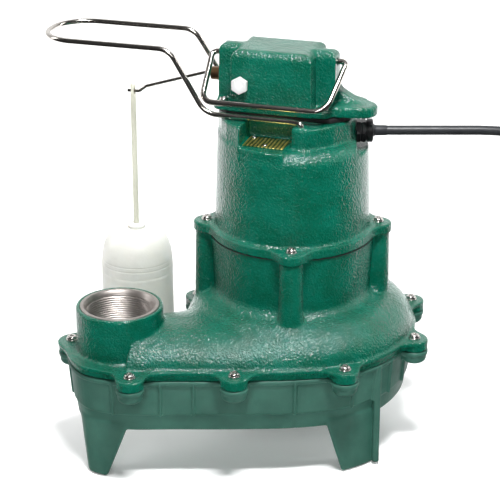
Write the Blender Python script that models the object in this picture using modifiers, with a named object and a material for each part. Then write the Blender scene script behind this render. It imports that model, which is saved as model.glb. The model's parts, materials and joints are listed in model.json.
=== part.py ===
"""Submersible sump pump with a float switch.

Units are metres, +Z is up and the floor is z = 0.  The pump stands on three
legs.  Its outline and its casting are laid out from the shaft axis.  The
switch case, its bail, the float guard and the float arm share a second frame,
turned about the same axis.
"""
import math

import bmesh
import bpy
from mathutils import Matrix, Vector

# ---------------------------------------------------------------- driving sizes
SHAFT_X, SHAFT_Y = 0.0503, 0.0104     # shaft axis, from the middle of the pump's footprint
CASE_YAW = math.radians(-17)          # the switch case is turned against the casting
MOTOR_YAW = math.radians(-2)          # first motor-flange screw, from +X
GAP = 0.0003                          # clearance between touching pieces

BASE_BOTTOM = 0.050                   # underside of the base, between the legs
BASE_SKIRT = 0.068                    # top of the recessed band of the base
BASE_EAR_BOTTOM = 0.096
FLANGE_BOTTOM, FLANGE_TOP = 0.105, 0.114
GASKET = 0.0008
VOLUTE_TOP = 0.152                    # where the dome meets the adapter
DISCHARGE_TOP = 0.157
JOINT = 0.2040                        # face of the adapter under the motor
MOTOR_FLANGE_TOP = 0.214
LEDGE_TOP = 0.303                     # nameplate ledge
SIDE_LEDGE_TOP = 0.291                # lower shoulder beside the cord entry
PAD_TOP = 0.321                       # seat of the switch case
CASE_BOTTOM = 0.3256
CASE_FLANGE_TOP = 0.3310
CASE_TOP = 0.3830

ADAPTER_RADIUS = 0.0765
ADAPTER_WAIST = 0.0740
MOTOR_RADIUS_BOTTOM, MOTOR_RADIUS_TOP = 0.0725, 0.0695
MOTOR_FLANGE_RADIUS = 0.0775
MOTOR_BOLT_RADIUS = 0.0807
MOTOR_BORE = 0.0645                   # inside of the motor shell
EAR_RADIUS = 0.0125
EAR_FILLET = 0.008

LOBE_CENTRE = (-0.1575, -0.0685)      # rounded end of the flange, from the shaft axis
LOBE_RADIUS = 0.053
DISCHARGE = (-0.1600, -0.0665)        # discharge axis, from the shaft axis
DISCHARGE_RADIUS = 0.0403
THREAD_BORE = 0.0296                  # 2 in pipe thread, at its crests
# Volute edge as angle in degrees and radius, anticlockwise from the front right.
VOLUTE_EDGE = ((-67, 0.1185), (-45, 0.1185), (-23, 0.1180), (-2, 0.1190), (20, 0.1190),
               (41, 0.1185), (63, 0.1165), (85, 0.1135), (106, 0.1095), (128, 0.1045))
VOLUTE_SCREWS = ((-0.2067, -0.0511), (-0.1478, -0.1324), (-0.0543, -0.1292),
                 (0.0459, -0.1159), (0.1144, -0.0480), (0.1185, 0.0426),
                 (0.0558, 0.1096), (-0.0320, 0.1115), (-0.0912, 0.0541), (-0.1220, -0.0080))

SHAFT_RADIUS = 0.0079
ROTOR_RADIUS = 0.0310
IMPELLER_RADIUS = 0.0600
BAIL_RADIUS = 0.0027
GUARD_RADIUS = 0.0024
ARM_RADIUS = 0.0015

# Places in the case frame: x along the case, y through it, from the shaft axis.
CASE_MIDDLE = -0.014
CASE_HALF = 0.056
CASE_DEPTH = 0.029                    # half depth of the body
END_DEPTH = 0.0095                    # half depth of the end blocks, between the notches
NOTCH_X = 0.038                       # the notches start here, from the case's middle
WING_START = 0.0392                   # clear of the case screws' heads
BAIL_AXIS = (CASE_MIDDLE, 0.0, 0.3725)
ARM_AXIS = (-0.0715, 0.0, 0.3515)
HOOK = (-0.1570, 0.0, 0.3270)         # where the arm's hook carries the float rod
GUARD_TIP = -0.2371
PLATE_PINS = ((-0.0120, -0.0525), (-0.0270, -0.0345))
EYE_HALF_HEIGHT = 0.0034              # of the slot in the float rod
FLOAT_RADIUS = 0.0350
FLOAT_BOTTOM, FLOAT_TOP = 0.070, 0.1905

# Power cord: 15 ft, out of the gland along +X, then down to a coil on the floor.
CORD_RADIUS = 0.0044
GLAND = (0.0575, 0.0, 0.3030)         # face of the cord boss, from the shaft axis
CORD_EXIT = (0.1368, 0.0104, 0.3030)  # where the cord leaves the strain relief
CORD_ROUTE = (CORD_EXIT, (0.1638, 0.0104, 0.3030), (0.1988, 0.0104, 0.3030),
              (0.2338, 0.0104, 0.3026), (0.2658, 0.0102, 0.2990), (0.2958, 0.0096, 0.2895),
              (0.3238, 0.0084, 0.2725), (0.3468, 0.0064, 0.2480), (0.3638, 0.0034, 0.2180),
              (0.3743, -0.0001, 0.1850), (0.3803, -0.0046, 0.1510), (0.3828, -0.0111, 0.1175),
              (0.3838, -0.0206, 0.0860), (0.3833, -0.0356, 0.0590), (0.3823, -0.0556, 0.0410),
              (0.3814, -0.0766, 0.0345), (0.3788, -0.0976, 0.0335), (0.3698, -0.1146, 0.0335))
TAIL_ROUTE = ((0.3078, -0.0086, 0.0048), (0.3148, -0.0051, 0.0052), (0.3228, -0.0001, 0.0075),
              (0.3300, 0.0042, 0.0108), (0.3365, 0.0062, 0.0132), (0.3430, 0.0064, 0.0134))
COIL_CENTRE = (0.3288, -0.0816)
COIL_INNER, COIL_OUTER = 0.0350, 0.0703
COIL_BOTTOM, COIL_TOP = 0.0014, 0.0282
TIE_THICKNESS = 0.0009
TIE_CLEARANCE = 0.0010                # the strap is flat where the coil's inside is round
CORD_STEP = 0.020                     # spacing of the tube's points
PLUG_REAR = (0.3436, 0.0064, 0.0134)  # cord end of the plug, which points along +X
SMOOTH_ANGLE = math.radians(35)


# ---------------------------------------------------------------- scene helpers
def clear_scene():
    for obj in list(bpy.data.objects):
        bpy.data.objects.remove(obj, do_unlink=True)


def new_collection(name):
    collection = bpy.data.collections.new(name)
    bpy.context.scene.collection.children.link(collection)
    return collection


def new_material(name, colour, roughness, metallic=0.0):
    material = bpy.data.materials.new(name)
    material.use_nodes = True
    shader = material.node_tree.nodes["Principled BSDF"]
    shader.inputs["Base Color"].default_value = (*colour, 1.0)
    shader.inputs["Roughness"].default_value = roughness
    shader.inputs["Metallic"].default_value = metallic
    return material


def new_empty(name, location, yaw=0.0, parent=None):
    empty = bpy.data.objects.new(name, None)
    empty.location = location
    empty.rotation_euler = (0.0, 0.0, yaw)
    empty.parent = parent
    CUTTERS.objects.link(empty)
    return empty


def place(name, mesh, parent=None, material=None):
    """Put a mesh in the scene: a piece when it has a material, else a cutter."""
    obj = bpy.data.objects.new(name, mesh)
    obj.parent = parent
    if material is None:
        CUTTERS.objects.link(obj)
        obj.hide_render = True
        obj.display_type = "WIRE"
        return obj
    PARTS.objects.link(obj)
    mesh.materials.append(material)
    mesh.shade_smooth()
    mesh.set_sharp_from_angle(angle=SMOOTH_ANGLE)
    return obj


def boolean(target, tool, operation):
    modifier = target.modifiers.new(f"{operation.lower()}_{tool.name}", "BOOLEAN")
    modifier.operation = operation
    modifier.solver = "EXACT"
    modifier.object = tool


def fuse(target, *tools):
    for tool in tools:
        boolean(target, tool, "UNION")


def cut(target, *tools):
    for tool in tools:
        boolean(target, tool, "DIFFERENCE")


# ---------------------------------------------------------------- shape helpers
def mesh_from(bm, name):
    bmesh.ops.recalc_face_normals(bm, faces=bm.faces)
    mesh = bpy.data.meshes.new(name)
    bm.to_mesh(mesh)
    bm.free()
    return mesh


def cylinders(name, centres, radius, low, high, sides=24, top_radius=None):
    """One mesh of upright cylinders, or cones, that stand apart."""
    bm = bmesh.new()
    for x, y in centres:
        made = bmesh.ops.create_cone(bm, cap_ends=True, segments=sides, radius1=radius,
                                     radius2=top_radius or radius, depth=high - low)
        bmesh.ops.translate(bm, verts=made["verts"], vec=(x, y, (low + high) / 2))
    return mesh_from(bm, name)


def boxes(name, items):
    """One mesh of boxes, each given by its lowest and highest corner."""
    bm = bmesh.new()
    for low, high in items:
        made = bmesh.ops.create_cube(bm, size=1.0)
        size = [b - a for a, b in zip(low, high)]
        bmesh.ops.scale(bm, verts=made["verts"], vec=size)
        bmesh.ops.translate(bm, verts=made["verts"],
                            vec=[(a + b) / 2 for a, b in zip(low, high)])
    return mesh_from(bm, name)


def along_x():
    """Lay an upright shape along +X."""
    return Matrix.Rotation(math.pi / 2, 4, "Y")


def along_y():
    """Lay an upright shape along Y, its top to the front."""
    return Matrix.Rotation(math.pi / 2, 4, "X")


def turned(name, profile, parent, material=None, steps=32, centre=(0.0, 0.0)):
    """Spin a closed (radius, z) section, listed down its outer side, about an upright axis."""
    bm = bmesh.new()
    verts = [bm.verts.new((radius, 0.0, z)) for radius, z in profile]
    on_axis = profile[0][0] == 0.0 and profile[-1][0] == 0.0
    for first, second in zip(verts, verts[1:]):
        bm.edges.new((first, second))
    if not on_axis:
        bm.edges.new((verts[-1], verts[0]))
    mesh = bpy.data.meshes.new(name)
    bm.to_mesh(mesh)
    bm.free()
    obj = place(name, mesh, parent, material)
    obj.location = (centre[0], centre[1], 0.0)
    screw = obj.modifiers.new("turned", "SCREW")
    screw.steps = steps
    screw.render_steps = steps
    screw.use_merge_vertices = True
    screw.merge_threshold = 0.00005
    screw.use_smooth_shade = True
    return obj


def curve_mesh(curve_data, name):
    """Turn a curve into a welded mesh, so that it can be cut and joined."""
    obj = bpy.data.objects.new(name, curve_data)
    bpy.context.scene.collection.objects.link(obj)
    evaluated = obj.evaluated_get(bpy.context.evaluated_depsgraph_get())
    mesh = bpy.data.meshes.new_from_object(evaluated)
    bpy.data.objects.remove(obj, do_unlink=True)
    bm = bmesh.new()
    bm.from_mesh(mesh)
    bmesh.ops.remove_doubles(bm, verts=bm.verts, dist=0.00001)
    bmesh.ops.recalc_face_normals(bm, faces=bm.faces)
    bm.to_mesh(mesh)
    bm.free()
    mesh.name = name
    return mesh


def prism(name, outlines, low, high):
    """Extrude flat closed outlines; a second outline inside the first is a hole."""
    data = bpy.data.curves.new(name, "CURVE")
    data.dimensions = "2D"
    data.fill_mode = "BOTH"
    data.extrude = (high - low) / 2
    for outline in outlines:
        spline = data.splines.new("POLY")
        spline.points.add(len(outline) - 1)
        for point, (x, y) in zip(spline.points, outline):
            point.co = (x, y, 0.0, 1.0)
        spline.use_cyclic_u = True
    mesh = curve_mesh(data, name)
    mesh.transform(Matrix.Translation((0.0, 0.0, (low + high) / 2)))
    return mesh


def wire(name, points, radius, parent, material, resolution=2):
    """A round wire along a path."""
    data = bpy.data.curves.new(name, "CURVE")
    data.dimensions = "3D"
    data.bevel_depth = radius
    data.bevel_resolution = resolution
    data.use_fill_caps = True
    spline = data.splines.new("POLY")
    spline.points.add(len(points) - 1)
    for point, co in zip(spline.points, points):
        point.co = (*co, 1.0)
    return place(name, curve_mesh(data, name), parent, material)


def bent_path(corners, radius, steps=5):
    """A path through corner points with an arc of the given radius at each bend."""
    corners = [Vector(c) for c in corners]
    path = [corners[0]]
    for before, corner, after in zip(corners, corners[1:], corners[2:]):
        back, ahead = (before - corner), (after - corner)
        half = back.angle(ahead) / 2
        reach = min(radius / math.tan(half), 0.49 * min(back.length, ahead.length))
        start = corner + back.normalized() * reach
        end = corner + ahead.normalized() * reach
        centre = corner + (back.normalized() + ahead.normalized()).normalized() * (
            reach / math.cos(half))
        swing = (start - centre).angle(end - centre)
        for step in range(steps + 1):
            share = step / steps
            path.append(centre + (start - centre) * (math.sin((1 - share) * swing) / math.sin(swing))
                        + (end - centre) * (math.sin(share * swing) / math.sin(swing)))
    path.append(corners[-1])
    return path


def spline_point(p0, p1, p2, p3, t):
    """A point between p1 and p2 on a Catmull-Rom curve."""
    return 0.5 * ((2 * p1) + (p2 - p0) * t + (2 * p0 - 5 * p1 + 4 * p2 - p3) * t ** 2
                  + (3 * p1 - p0 - 3 * p2 + p3) * t ** 3)


def closed_curve(points, count):
    """Evenly spaced points on a smooth closed curve through the given points."""
    points = [Vector(p) for p in points]
    dense = []
    for index in range(len(points)):
        around = [points[(index + k) % len(points)] for k in (-1, 0, 1, 2)]
        dense += [spline_point(*around, step / 16) for step in range(16)]
    return even_points(dense + dense[:1], count)[:-1]


def even_points(dense, count):
    """Count + 1 points at equal steps along a polyline."""
    lengths = [0.0]
    for first, second in zip(dense, dense[1:]):
        lengths.append(lengths[-1] + (second - first).length)
    result, index = [], 0
    for step in range(count + 1):
        target = lengths[-1] * step / count
        while index < len(dense) - 2 and lengths[index + 1] < target:
            index += 1
        share = (target - lengths[index]) / (lengths[index + 1] - lengths[index])
        result.append(dense[index].lerp(dense[index + 1], share))
    return result


def outward(points, index):
    """Outward normal of an anticlockwise outline at one of its points."""
    ahead = points[(index + 1) % len(points)] - points[index - 1]
    return Vector((ahead.y, -ahead.x)).normalized()


def inset(points, distance):
    return [p - outward(points, i) * distance for i, p in enumerate(points)]


def eared(points, ears, radius, fillet):
    """Push an outline out round each ear, with a fillet on both sides of it."""
    result = []
    for index, point in enumerate(points):
        normal = outward(points, index)
        rise = 0.0
        for ear in ears:
            to_ear = Vector(ear) - point
            depth = to_ear.dot(normal)
            aside = abs(to_ear.cross(normal))
            if to_ear.length > 2.5 * radius:
                continue
            fillet_at = math.sqrt((radius + fillet) ** 2 - (depth - fillet) ** 2)
            tangent_at = fillet_at * radius / (radius + fillet)
            if aside < tangent_at:
                rise = max(rise, depth + math.sqrt(radius ** 2 - aside ** 2))
            elif aside < fillet_at:
                rise = max(rise, fillet - math.sqrt(fillet ** 2 - (fillet_at - aside) ** 2))
        result.append(point + normal * rise)
    return simplified(result, 0.0004)


def simplified(points, tolerance):
    """Drop the points that lie within the tolerance of the line between kept ones."""
    kept = [0]
    for index in range(1, len(points)):
        start, end = points[kept[-1]], points[(index + 1) % len(points)]
        line = (end - start).normalized()
        between = points[kept[-1] + 1:index + 1]
        if max(abs((p - start).cross(line)) for p in between) > tolerance:
            kept.append(index)
    return [points[i] for i in kept]


def loft(name, rings):
    """Close the space between rings of equal count, capped at both ends."""
    bm = bmesh.new()
    loops = [[bm.verts.new(point) for point in ring] for ring in rings]
    for lower, upper in zip(loops, loops[1:]):
        for i in range(len(lower)):
            j = (i + 1) % len(lower)
            bm.faces.new((lower[i], lower[j], upper[j], upper[i]))
    bm.faces.new(loops[0])
    bm.faces.new(loops[-1])
    bmesh.ops.triangulate(bm, faces=[f for f in bm.faces if len(f.verts) > 4])
    return mesh_from(bm, name)


def level(points, z):
    return [(p[0], p[1], z) for p in points]


def rounded_rectangle(low, high, radius, steps=3):
    """Outline of a rectangle with round corners, anticlockwise."""
    outline = []
    corners = ((high[0], high[1], 0), (low[0], high[1], 90),
               (low[0], low[1], 180), (high[0], low[1], 270))
    for x, y, start in corners:
        centre_x = x - radius if x == high[0] else x + radius
        centre_y = y - radius if y == high[1] else y + radius
        for step in range(steps + 1):
            angle = math.radians(start + 90 * step / steps)
            outline.append(Vector((centre_x + radius * math.cos(angle),
                                   centre_y + radius * math.sin(angle))))
    return outline


def rounded_corners(points, radius, steps=3):
    """An outline with an arc of the given radius at each corner."""
    points = [Vector((x, y, 0.0)) for x, y in points]
    outline = []
    for index, corner in enumerate(points):
        around = [points[index - 1], corner, points[(index + 1) % len(points)]]
        outline += [p.to_2d() for p in bent_path(around, radius, steps)[1:-1]]
    return outline


def circle(radius, count, centre=(0.0, 0.0)):
    return [Vector((centre[0] + radius * math.cos(2 * math.pi * i / count),
                    centre[1] + radius * math.sin(2 * math.pi * i / count)))
            for i in range(count)]


# ---------------------------------------------------------------- pump end
def flange_edge(count):
    """Edge of the volute flange without its ears, anticlockwise round the shaft axis."""
    lobe = [(LOBE_CENTRE[0] + LOBE_RADIUS * math.cos(math.radians(a)),
             LOBE_CENTRE[1] + LOBE_RADIUS * math.sin(math.radians(a)))
            for a in (90, 135, 180, 225, 270)]
    front = [(-0.106, -0.1220), (-0.054, -0.1220), (0.0, -0.1195)]
    volute = [(radius * math.cos(math.radians(a)), radius * math.sin(math.radians(a)))
              for a, radius in VOLUTE_EDGE]
    tongue = [(-0.089, 0.050), (-0.0985, 0.023), (-0.1045, -0.003), (-0.120, -0.0150)]
    return closed_curve(lobe + front + volute + tongue, count)


def dome_ring(edge, share, depth, radius, z):
    """A ring of the dome, part of the way from the inset edge to a circle on the shaft axis."""
    points = inset(edge, depth)
    step = 0.004
    angles = [math.atan2(points[0].y, points[0].x)]
    for index, point in enumerate(points[1:], 1):
        angle = math.atan2(point.y, point.x)
        while angle < angles[-1] - math.pi:
            angle += 2 * math.pi
        limit = angles[0] + 2 * math.pi - step * (len(points) - index)
        angles.append(min(max(angle, angles[-1] + step), limit))
    ring = [point.lerp(Vector((radius * math.cos(angle), radius * math.sin(angle))), share)
            for point, angle in zip(points, angles)]
    return level(ring, z)


def make_base():
    """Lower half of the volute: a moulded bowl on three legs, open at the top."""
    edge = flange_edge(48)
    wall = 0.0045
    outside = ((0.0105, BASE_BOTTOM), (0.0080, BASE_SKIRT - 0.001), (0.0055, BASE_SKIRT + 0.001),
               (0.0030, FLANGE_BOTTOM - GASKET - 3 * GAP))
    rings = [level(inset(edge, depth), z) for depth, z in outside]
    base = place("pump_base", loft("pump_base", rings), SHAFT, BASE_GREEN)
    top = FLANGE_BOTTOM - GASKET - 2 * GAP
    rim = eared(flange_edge(320), VOLUTE_SCREWS, EAR_RADIUS, EAR_FILLET)
    fuse(base, place("base_rim", prism("base_rim", [rim], BASE_EAR_BOTTOM, top), SHAFT))
    legs = (((-0.195, -0.116), (-0.155, -0.082), (-0.191, -0.106), (-0.168, -0.084)),
            ((0.030, -0.110), (0.081, -0.074), (0.046, -0.100), (0.081, -0.074)),
            ((-0.014, 0.066), (0.036, 0.101), (-0.006, 0.070), (0.028, 0.094)))
    for index, (top_low, top_high, foot_low, foot_high) in enumerate(legs, 1):
        foot = level(rounded_rectangle(foot_low, foot_high, 0.006), 0.0)
        head = level(rounded_rectangle(top_low, top_high, 0.008), BASE_BOTTOM + 0.012)
        fuse(base, place(f"leg_{index}", loft(f"leg_{index}", [foot, head]), SHAFT))
    hollow = [level(inset(edge, depth + wall), z) for depth, z in
              ((0.0100, BASE_BOTTOM + 0.006), (0.0030, top + 0.010))]
    cut(base, place("base_hollow", loft("base_hollow", hollow), SHAFT))
    cut(base, place("inlet", cylinders("inlet", [(0, 0)], 0.029, 0.030, 0.080, 28), SHAFT))
    cut(base, place("base_holes", cylinders("base_holes", VOLUTE_SCREWS, 0.0030,
                                            0.080, 0.120, 8), SHAFT))
    return base


def make_base_gasket():
    low = FLANGE_BOTTOM - GASKET - GAP
    edge = flange_edge(60)
    outer = simplified(inset(edge, 0.0042), 0.0002)
    inner = simplified(inset(edge, 0.0074), 0.0002)
    mesh = prism("base_gasket", [outer, inner], low, FLANGE_BOTTOM - GAP)
    place("base_gasket", mesh, SHAFT, RUBBER)


def make_pump_housing():
    """Upper half of the volute with the discharge boss and the adapter for the motor."""
    rim = eared(flange_edge(320), VOLUTE_SCREWS, EAR_RADIUS, EAR_FILLET)
    housing = place("pump_housing", prism("pump_housing", [rim], FLANGE_BOTTOM, FLANGE_TOP),
                    SHAFT, CASTING_GREEN)
    edge = flange_edge(48)
    dome = [dome_ring(edge, 0.00, 0.0060, ADAPTER_WAIST, FLANGE_TOP - 0.003),
            dome_ring(edge, 0.00, 0.0110, ADAPTER_WAIST, 0.128),
            dome_ring(edge, 0.08, 0.0170, ADAPTER_WAIST, 0.139),
            dome_ring(edge, 0.45, 0.0200, ADAPTER_WAIST, 0.146),
            dome_ring(edge, 1.00, 0.0200, ADAPTER_WAIST - 0.004, VOLUTE_TOP)]
    hollow = [dome_ring(edge, 0.00, 0.0075, 0.060, FLANGE_BOTTOM - 0.005),
              dome_ring(edge, 0.00, 0.0150, 0.060, 0.120),
              dome_ring(edge, 0.10, 0.0230, 0.060, 0.132),
              dome_ring(edge, 1.00, 0.0230, 0.040, 0.141)]
    fuse(housing, place("dome", loft("dome", dome), SHAFT))
    boss = cylinders("discharge_boss", [DISCHARGE], DISCHARGE_RADIUS, 0.109, DISCHARGE_TOP, 32)
    fuse(housing, place("discharge_boss", boss, SHAFT))
    adapter = cylinders("adapter", [(0, 0)], ADAPTER_WAIST, 0.1415, JOINT, 40,
                        top_radius=ADAPTER_RADIUS)
    fuse(housing, place("adapter", adapter, SHAFT))
    bosses = cylinders("adapter_bosses", motor_bolts(), 0.0115, 0.1440, JOINT - 0.001, 16)
    fuse(housing, place("adapter_bosses", bosses, SHAFT))
    cut(housing, place("volute_hollow", loft("volute_hollow", hollow), SHAFT))
    # Stepped chamber above the wet end: bearing seat, web and the seal's bore.
    chamber = [(0.0, JOINT + 0.010), (MOTOR_BORE, JOINT + 0.010), (MOTOR_BORE, 0.172),
               (0.050, 0.158), (0.026, 0.158), (0.024, 0.182), (0.0173, 0.182),
               (0.0173, 0.168), (0.0130, 0.168), (0.0130, 0.120), (0.0, 0.120)]
    cut(housing, turned("chamber", chamber, SHAFT, steps=28))
    cut(housing, place("discharge_bore", cylinders("discharge_bore", [DISCHARGE], THREAD_BORE,
                                                   0.100, 0.170, 32), SHAFT))
    cut(housing, place("housing_holes", cylinders("housing_holes", VOLUTE_SCREWS, 0.0030,
                                                  0.100, 0.120, 8), SHAFT))
    cut(housing, place("adapter_holes", cylinders("adapter_holes", motor_bolts(), 0.0030,
                                                  0.176, 0.210, 8), SHAFT))
    return housing


def motor_bolts():
    return [(MOTOR_BOLT_RADIUS * math.cos(MOTOR_YAW + k * math.pi / 2),
             MOTOR_BOLT_RADIUS * math.sin(MOTOR_YAW + k * math.pi / 2)) for k in range(4)]


# ---------------------------------------------------------------- motor
def make_housing_gasket():
    ring = [circle(MOTOR_FLANGE_RADIUS - 0.002, 48), circle(0.068, 48)]
    mesh = prism("housing_gasket", ring, JOINT + GAP, JOINT + GAP + GASKET)
    place("housing_gasket", mesh, SHAFT, RUBBER)


def pad_outline():
    """Seat of the switch case on top of the motor, in the case frame."""
    return [Vector(p) for p in (
        (0.057, -0.012), (0.057, 0.022), (0.045, 0.030), (-0.058, 0.030), (-0.0685, 0.018),
        (-0.0685, -0.012), (-0.058, -0.036), (-0.050, -0.047), (-0.034, -0.060),
        (-0.034, -0.0275), (0.042, -0.0275))]


def make_motor_housing():
    """Motor shell: a flange with four ears, a drafted barrel and the seat for the case."""
    flange_low = JOINT + GASKET + 2 * GAP
    ears = eared(circle(MOTOR_FLANGE_RADIUS, 144), motor_bolts(), EAR_RADIUS, EAR_FILLET)
    housing = place("motor_housing", prism("motor_housing", [ears], flange_low,
                                           MOTOR_FLANGE_TOP), SHAFT, CASTING_GREEN)
    barrel = cylinders("barrel", [(0, 0)], MOTOR_RADIUS_BOTTOM, flange_low + 0.002,
                       LEDGE_TOP, 44, top_radius=MOTOR_RADIUS_TOP)
    fuse(housing, place("barrel", barrel, SHAFT))
    pad = prism("pad", [pad_outline()], LEDGE_TOP - 0.006, PAD_TOP)
    fuse(housing, place("pad", pad, CASE))
    post = cylinders("guard_posts", [(0.0195, -0.0440), (0.0195, 0.0440)], 0.0065,
                     LEDGE_TOP - 0.006, PAD_TOP, 14)
    fuse(housing, place("guard_posts", post, CASE))
    # Shoulder that leaves room for the gland.
    shoulder = boxes("shoulder", [((GLAND[0], -0.090, SIDE_LEDGE_TOP),
                                   (0.090, 0.090, PAD_TOP + 0.010))])
    cut(housing, place("shoulder", shoulder, SHAFT))
    # The hollow's section steps round the hub that holds the upper bearing.
    hollow = [(0.0, 0.2960), (0.0153, 0.2960), (0.0153, 0.2810), (0.0190, 0.2810),
              (0.0190, 0.2960), (0.0600, 0.2960), (MOTOR_BORE, 0.2900),
              (MOTOR_BORE, flange_low - 0.010), (0.0, flange_low - 0.010)]
    cut(housing, turned("motor_hollow", hollow, SHAFT, steps=36))
    cut(housing, place("wireway", boxes("wireway", [((-0.045, -0.018, 0.290),
                                                     (-0.022, 0.018, 0.330))]), CASE))
    cord_way = cylinders("cord_way", [(0, 0)], 0.0062, -0.030, 0.010, 12)
    cord_way.transform(along_x())
    cut(housing, place("cord_way", cord_way, GLAND_FRAME))
    cord_room = boxes("cord_room", [((0.024, -0.012, 0.298), (0.046, 0.020, 0.330))])
    cut(housing, place("cord_room", cord_room, CASE))
    cut(housing, place("pad_holes", cylinders("pad_holes", case_bolts(), 0.0024,
                                              0.305, 0.330, 8), CASE))
    cut(housing, place("guard_holes", cylinders("guard_holes", guard_ends(),
                                                GUARD_RADIUS + GAP, 0.308, 0.330, 10), CASE))
    cut(housing, place("pin_holes", cylinders("pin_holes", PLATE_PINS, 0.0014,
                                              0.2990, 0.310, 8), CASE))
    cut(housing, place("flange_holes", cylinders("flange_holes", motor_bolts(), 0.0030,
                                                 0.190, 0.220, 8), SHAFT))
    return housing


def make_motor_inside():
    """Shaft, rotor, stator, windings, bearings, seal and impeller."""
    turned("shaft", [(0.0, 0.295), (SHAFT_RADIUS, 0.295), (SHAFT_RADIUS, 0.098),
                     (0.0, 0.098)], SHAFT, STEEL, 16)
    inner = SHAFT_RADIUS + GAP
    rings = (("rotor_core", inner, ROTOR_RADIUS, 0.216, 0.276, CORE_STEEL, 28),
             ("stator_core", ROTOR_RADIUS + 0.0008, MOTOR_BORE - GAP, 0.214, 0.278, CORE_STEEL, 40),
             ("lower_winding", 0.0370, 0.0580, 0.199, 0.2137, COPPER, 24),
             ("upper_winding", 0.0370, 0.0580, 0.2783, 0.2900, COPPER, 24),
             ("upper_bearing", inner, 0.0150, 0.2830, 0.2940, STEEL, 24),
             ("lower_bearing", inner, 0.0170, 0.1683, 0.1800, STEEL, 24),
             ("shaft_seal", inner, 0.0127, 0.1410, 0.1600, RUBBER, 20))
    for name, low_radius, high_radius, low, high, material, steps in rings:
        section = [(low_radius, high), (high_radius, high), (high_radius, low), (low_radius, low)]
        turned(name, section, SHAFT, material, steps)
    make_impeller()


def make_impeller():
    """Non-clog impeller: a hub and a shroud above four vanes."""
    section = [(0.0, 0.0977), (0.0, 0.0920), (0.016, 0.0920), (0.016, 0.1180),
               (IMPELLER_RADIUS, 0.1180), (IMPELLER_RADIUS, 0.1220), (0.016, 0.1250),
               (SHAFT_RADIUS + GAP, 0.1250), (SHAFT_RADIUS + GAP, 0.0977)][::-1]
    impeller = turned("impeller", section, SHAFT, CASTING_GREEN, 28)
    for index in range(4):
        vane = boxes(f"vane_{index + 1}", [((0.012, -0.0015, 0.0940),
                                            (0.058, 0.0015, 0.1190))])
        tool = place(f"vane_{index + 1}", vane, SHAFT)
        tool.rotation_euler = (0.0, 0.0, index * math.pi / 2)
        fuse(impeller, tool)


# ---------------------------------------------------------------- switch case
def case_bolts():
    return [(CASE_MIDDLE + sx * 0.0475, sy * 0.0185) for sx in (-1, 1) for sy in (-1, 1)]


def guard_ends():
    return [(0.0195, -0.0440), (0.0195, 0.0440)]


def case_plan():
    """Plan of the case, with round corners: a body between four corner notches."""
    quarter = [(CASE_HALF, -END_DEPTH), (CASE_HALF, END_DEPTH), (NOTCH_X, END_DEPTH),
               (NOTCH_X, CASE_DEPTH)]
    half = quarter + [(-x, y) for x, y in quarter[::-1]]
    corners = half + [(-x, -y) for x, y in half if (-x, -y) not in half]
    return rounded_corners([(CASE_MIDDLE + x, y) for x, y in corners], 0.0050)


def wing_outline():
    """Tongue of the case flange that covers the cord entry."""
    end = [(0.0660 + 0.0140 * math.cos(math.radians(angle)),
            -0.0050 + 0.0140 * math.sin(math.radians(angle))) for angle in range(-90, 61, 30)]
    return [Vector(p) for p in [(WING_START, -0.024)] + end + [(0.046, 0.029), (WING_START, 0.029)]]


def make_case_gasket():
    body = [Vector(p) for p in ((0.0555, -0.011), (0.0555, 0.021), (0.044, 0.0275),
                                (-0.057, 0.0275), (-0.0665, 0.017), (-0.0665, -0.017),
                                (-0.057, -0.0265), (0.042, -0.0265))]
    gasket = place("case_gasket", prism("case_gasket", [body], PAD_TOP + GAP,
                                        CASE_BOTTOM - GAP), CASE, RUBBER)
    opening = boxes("gasket_opening", [((-0.052, -0.0105, 0.310), (0.040, 0.0105, 0.340))])
    cut(gasket, place("gasket_opening", opening, CASE))
    cut(gasket, place("gasket_holes", cylinders("gasket_holes", case_bolts(), 0.0026,
                                                0.300, 0.340, 8), CASE))


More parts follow.
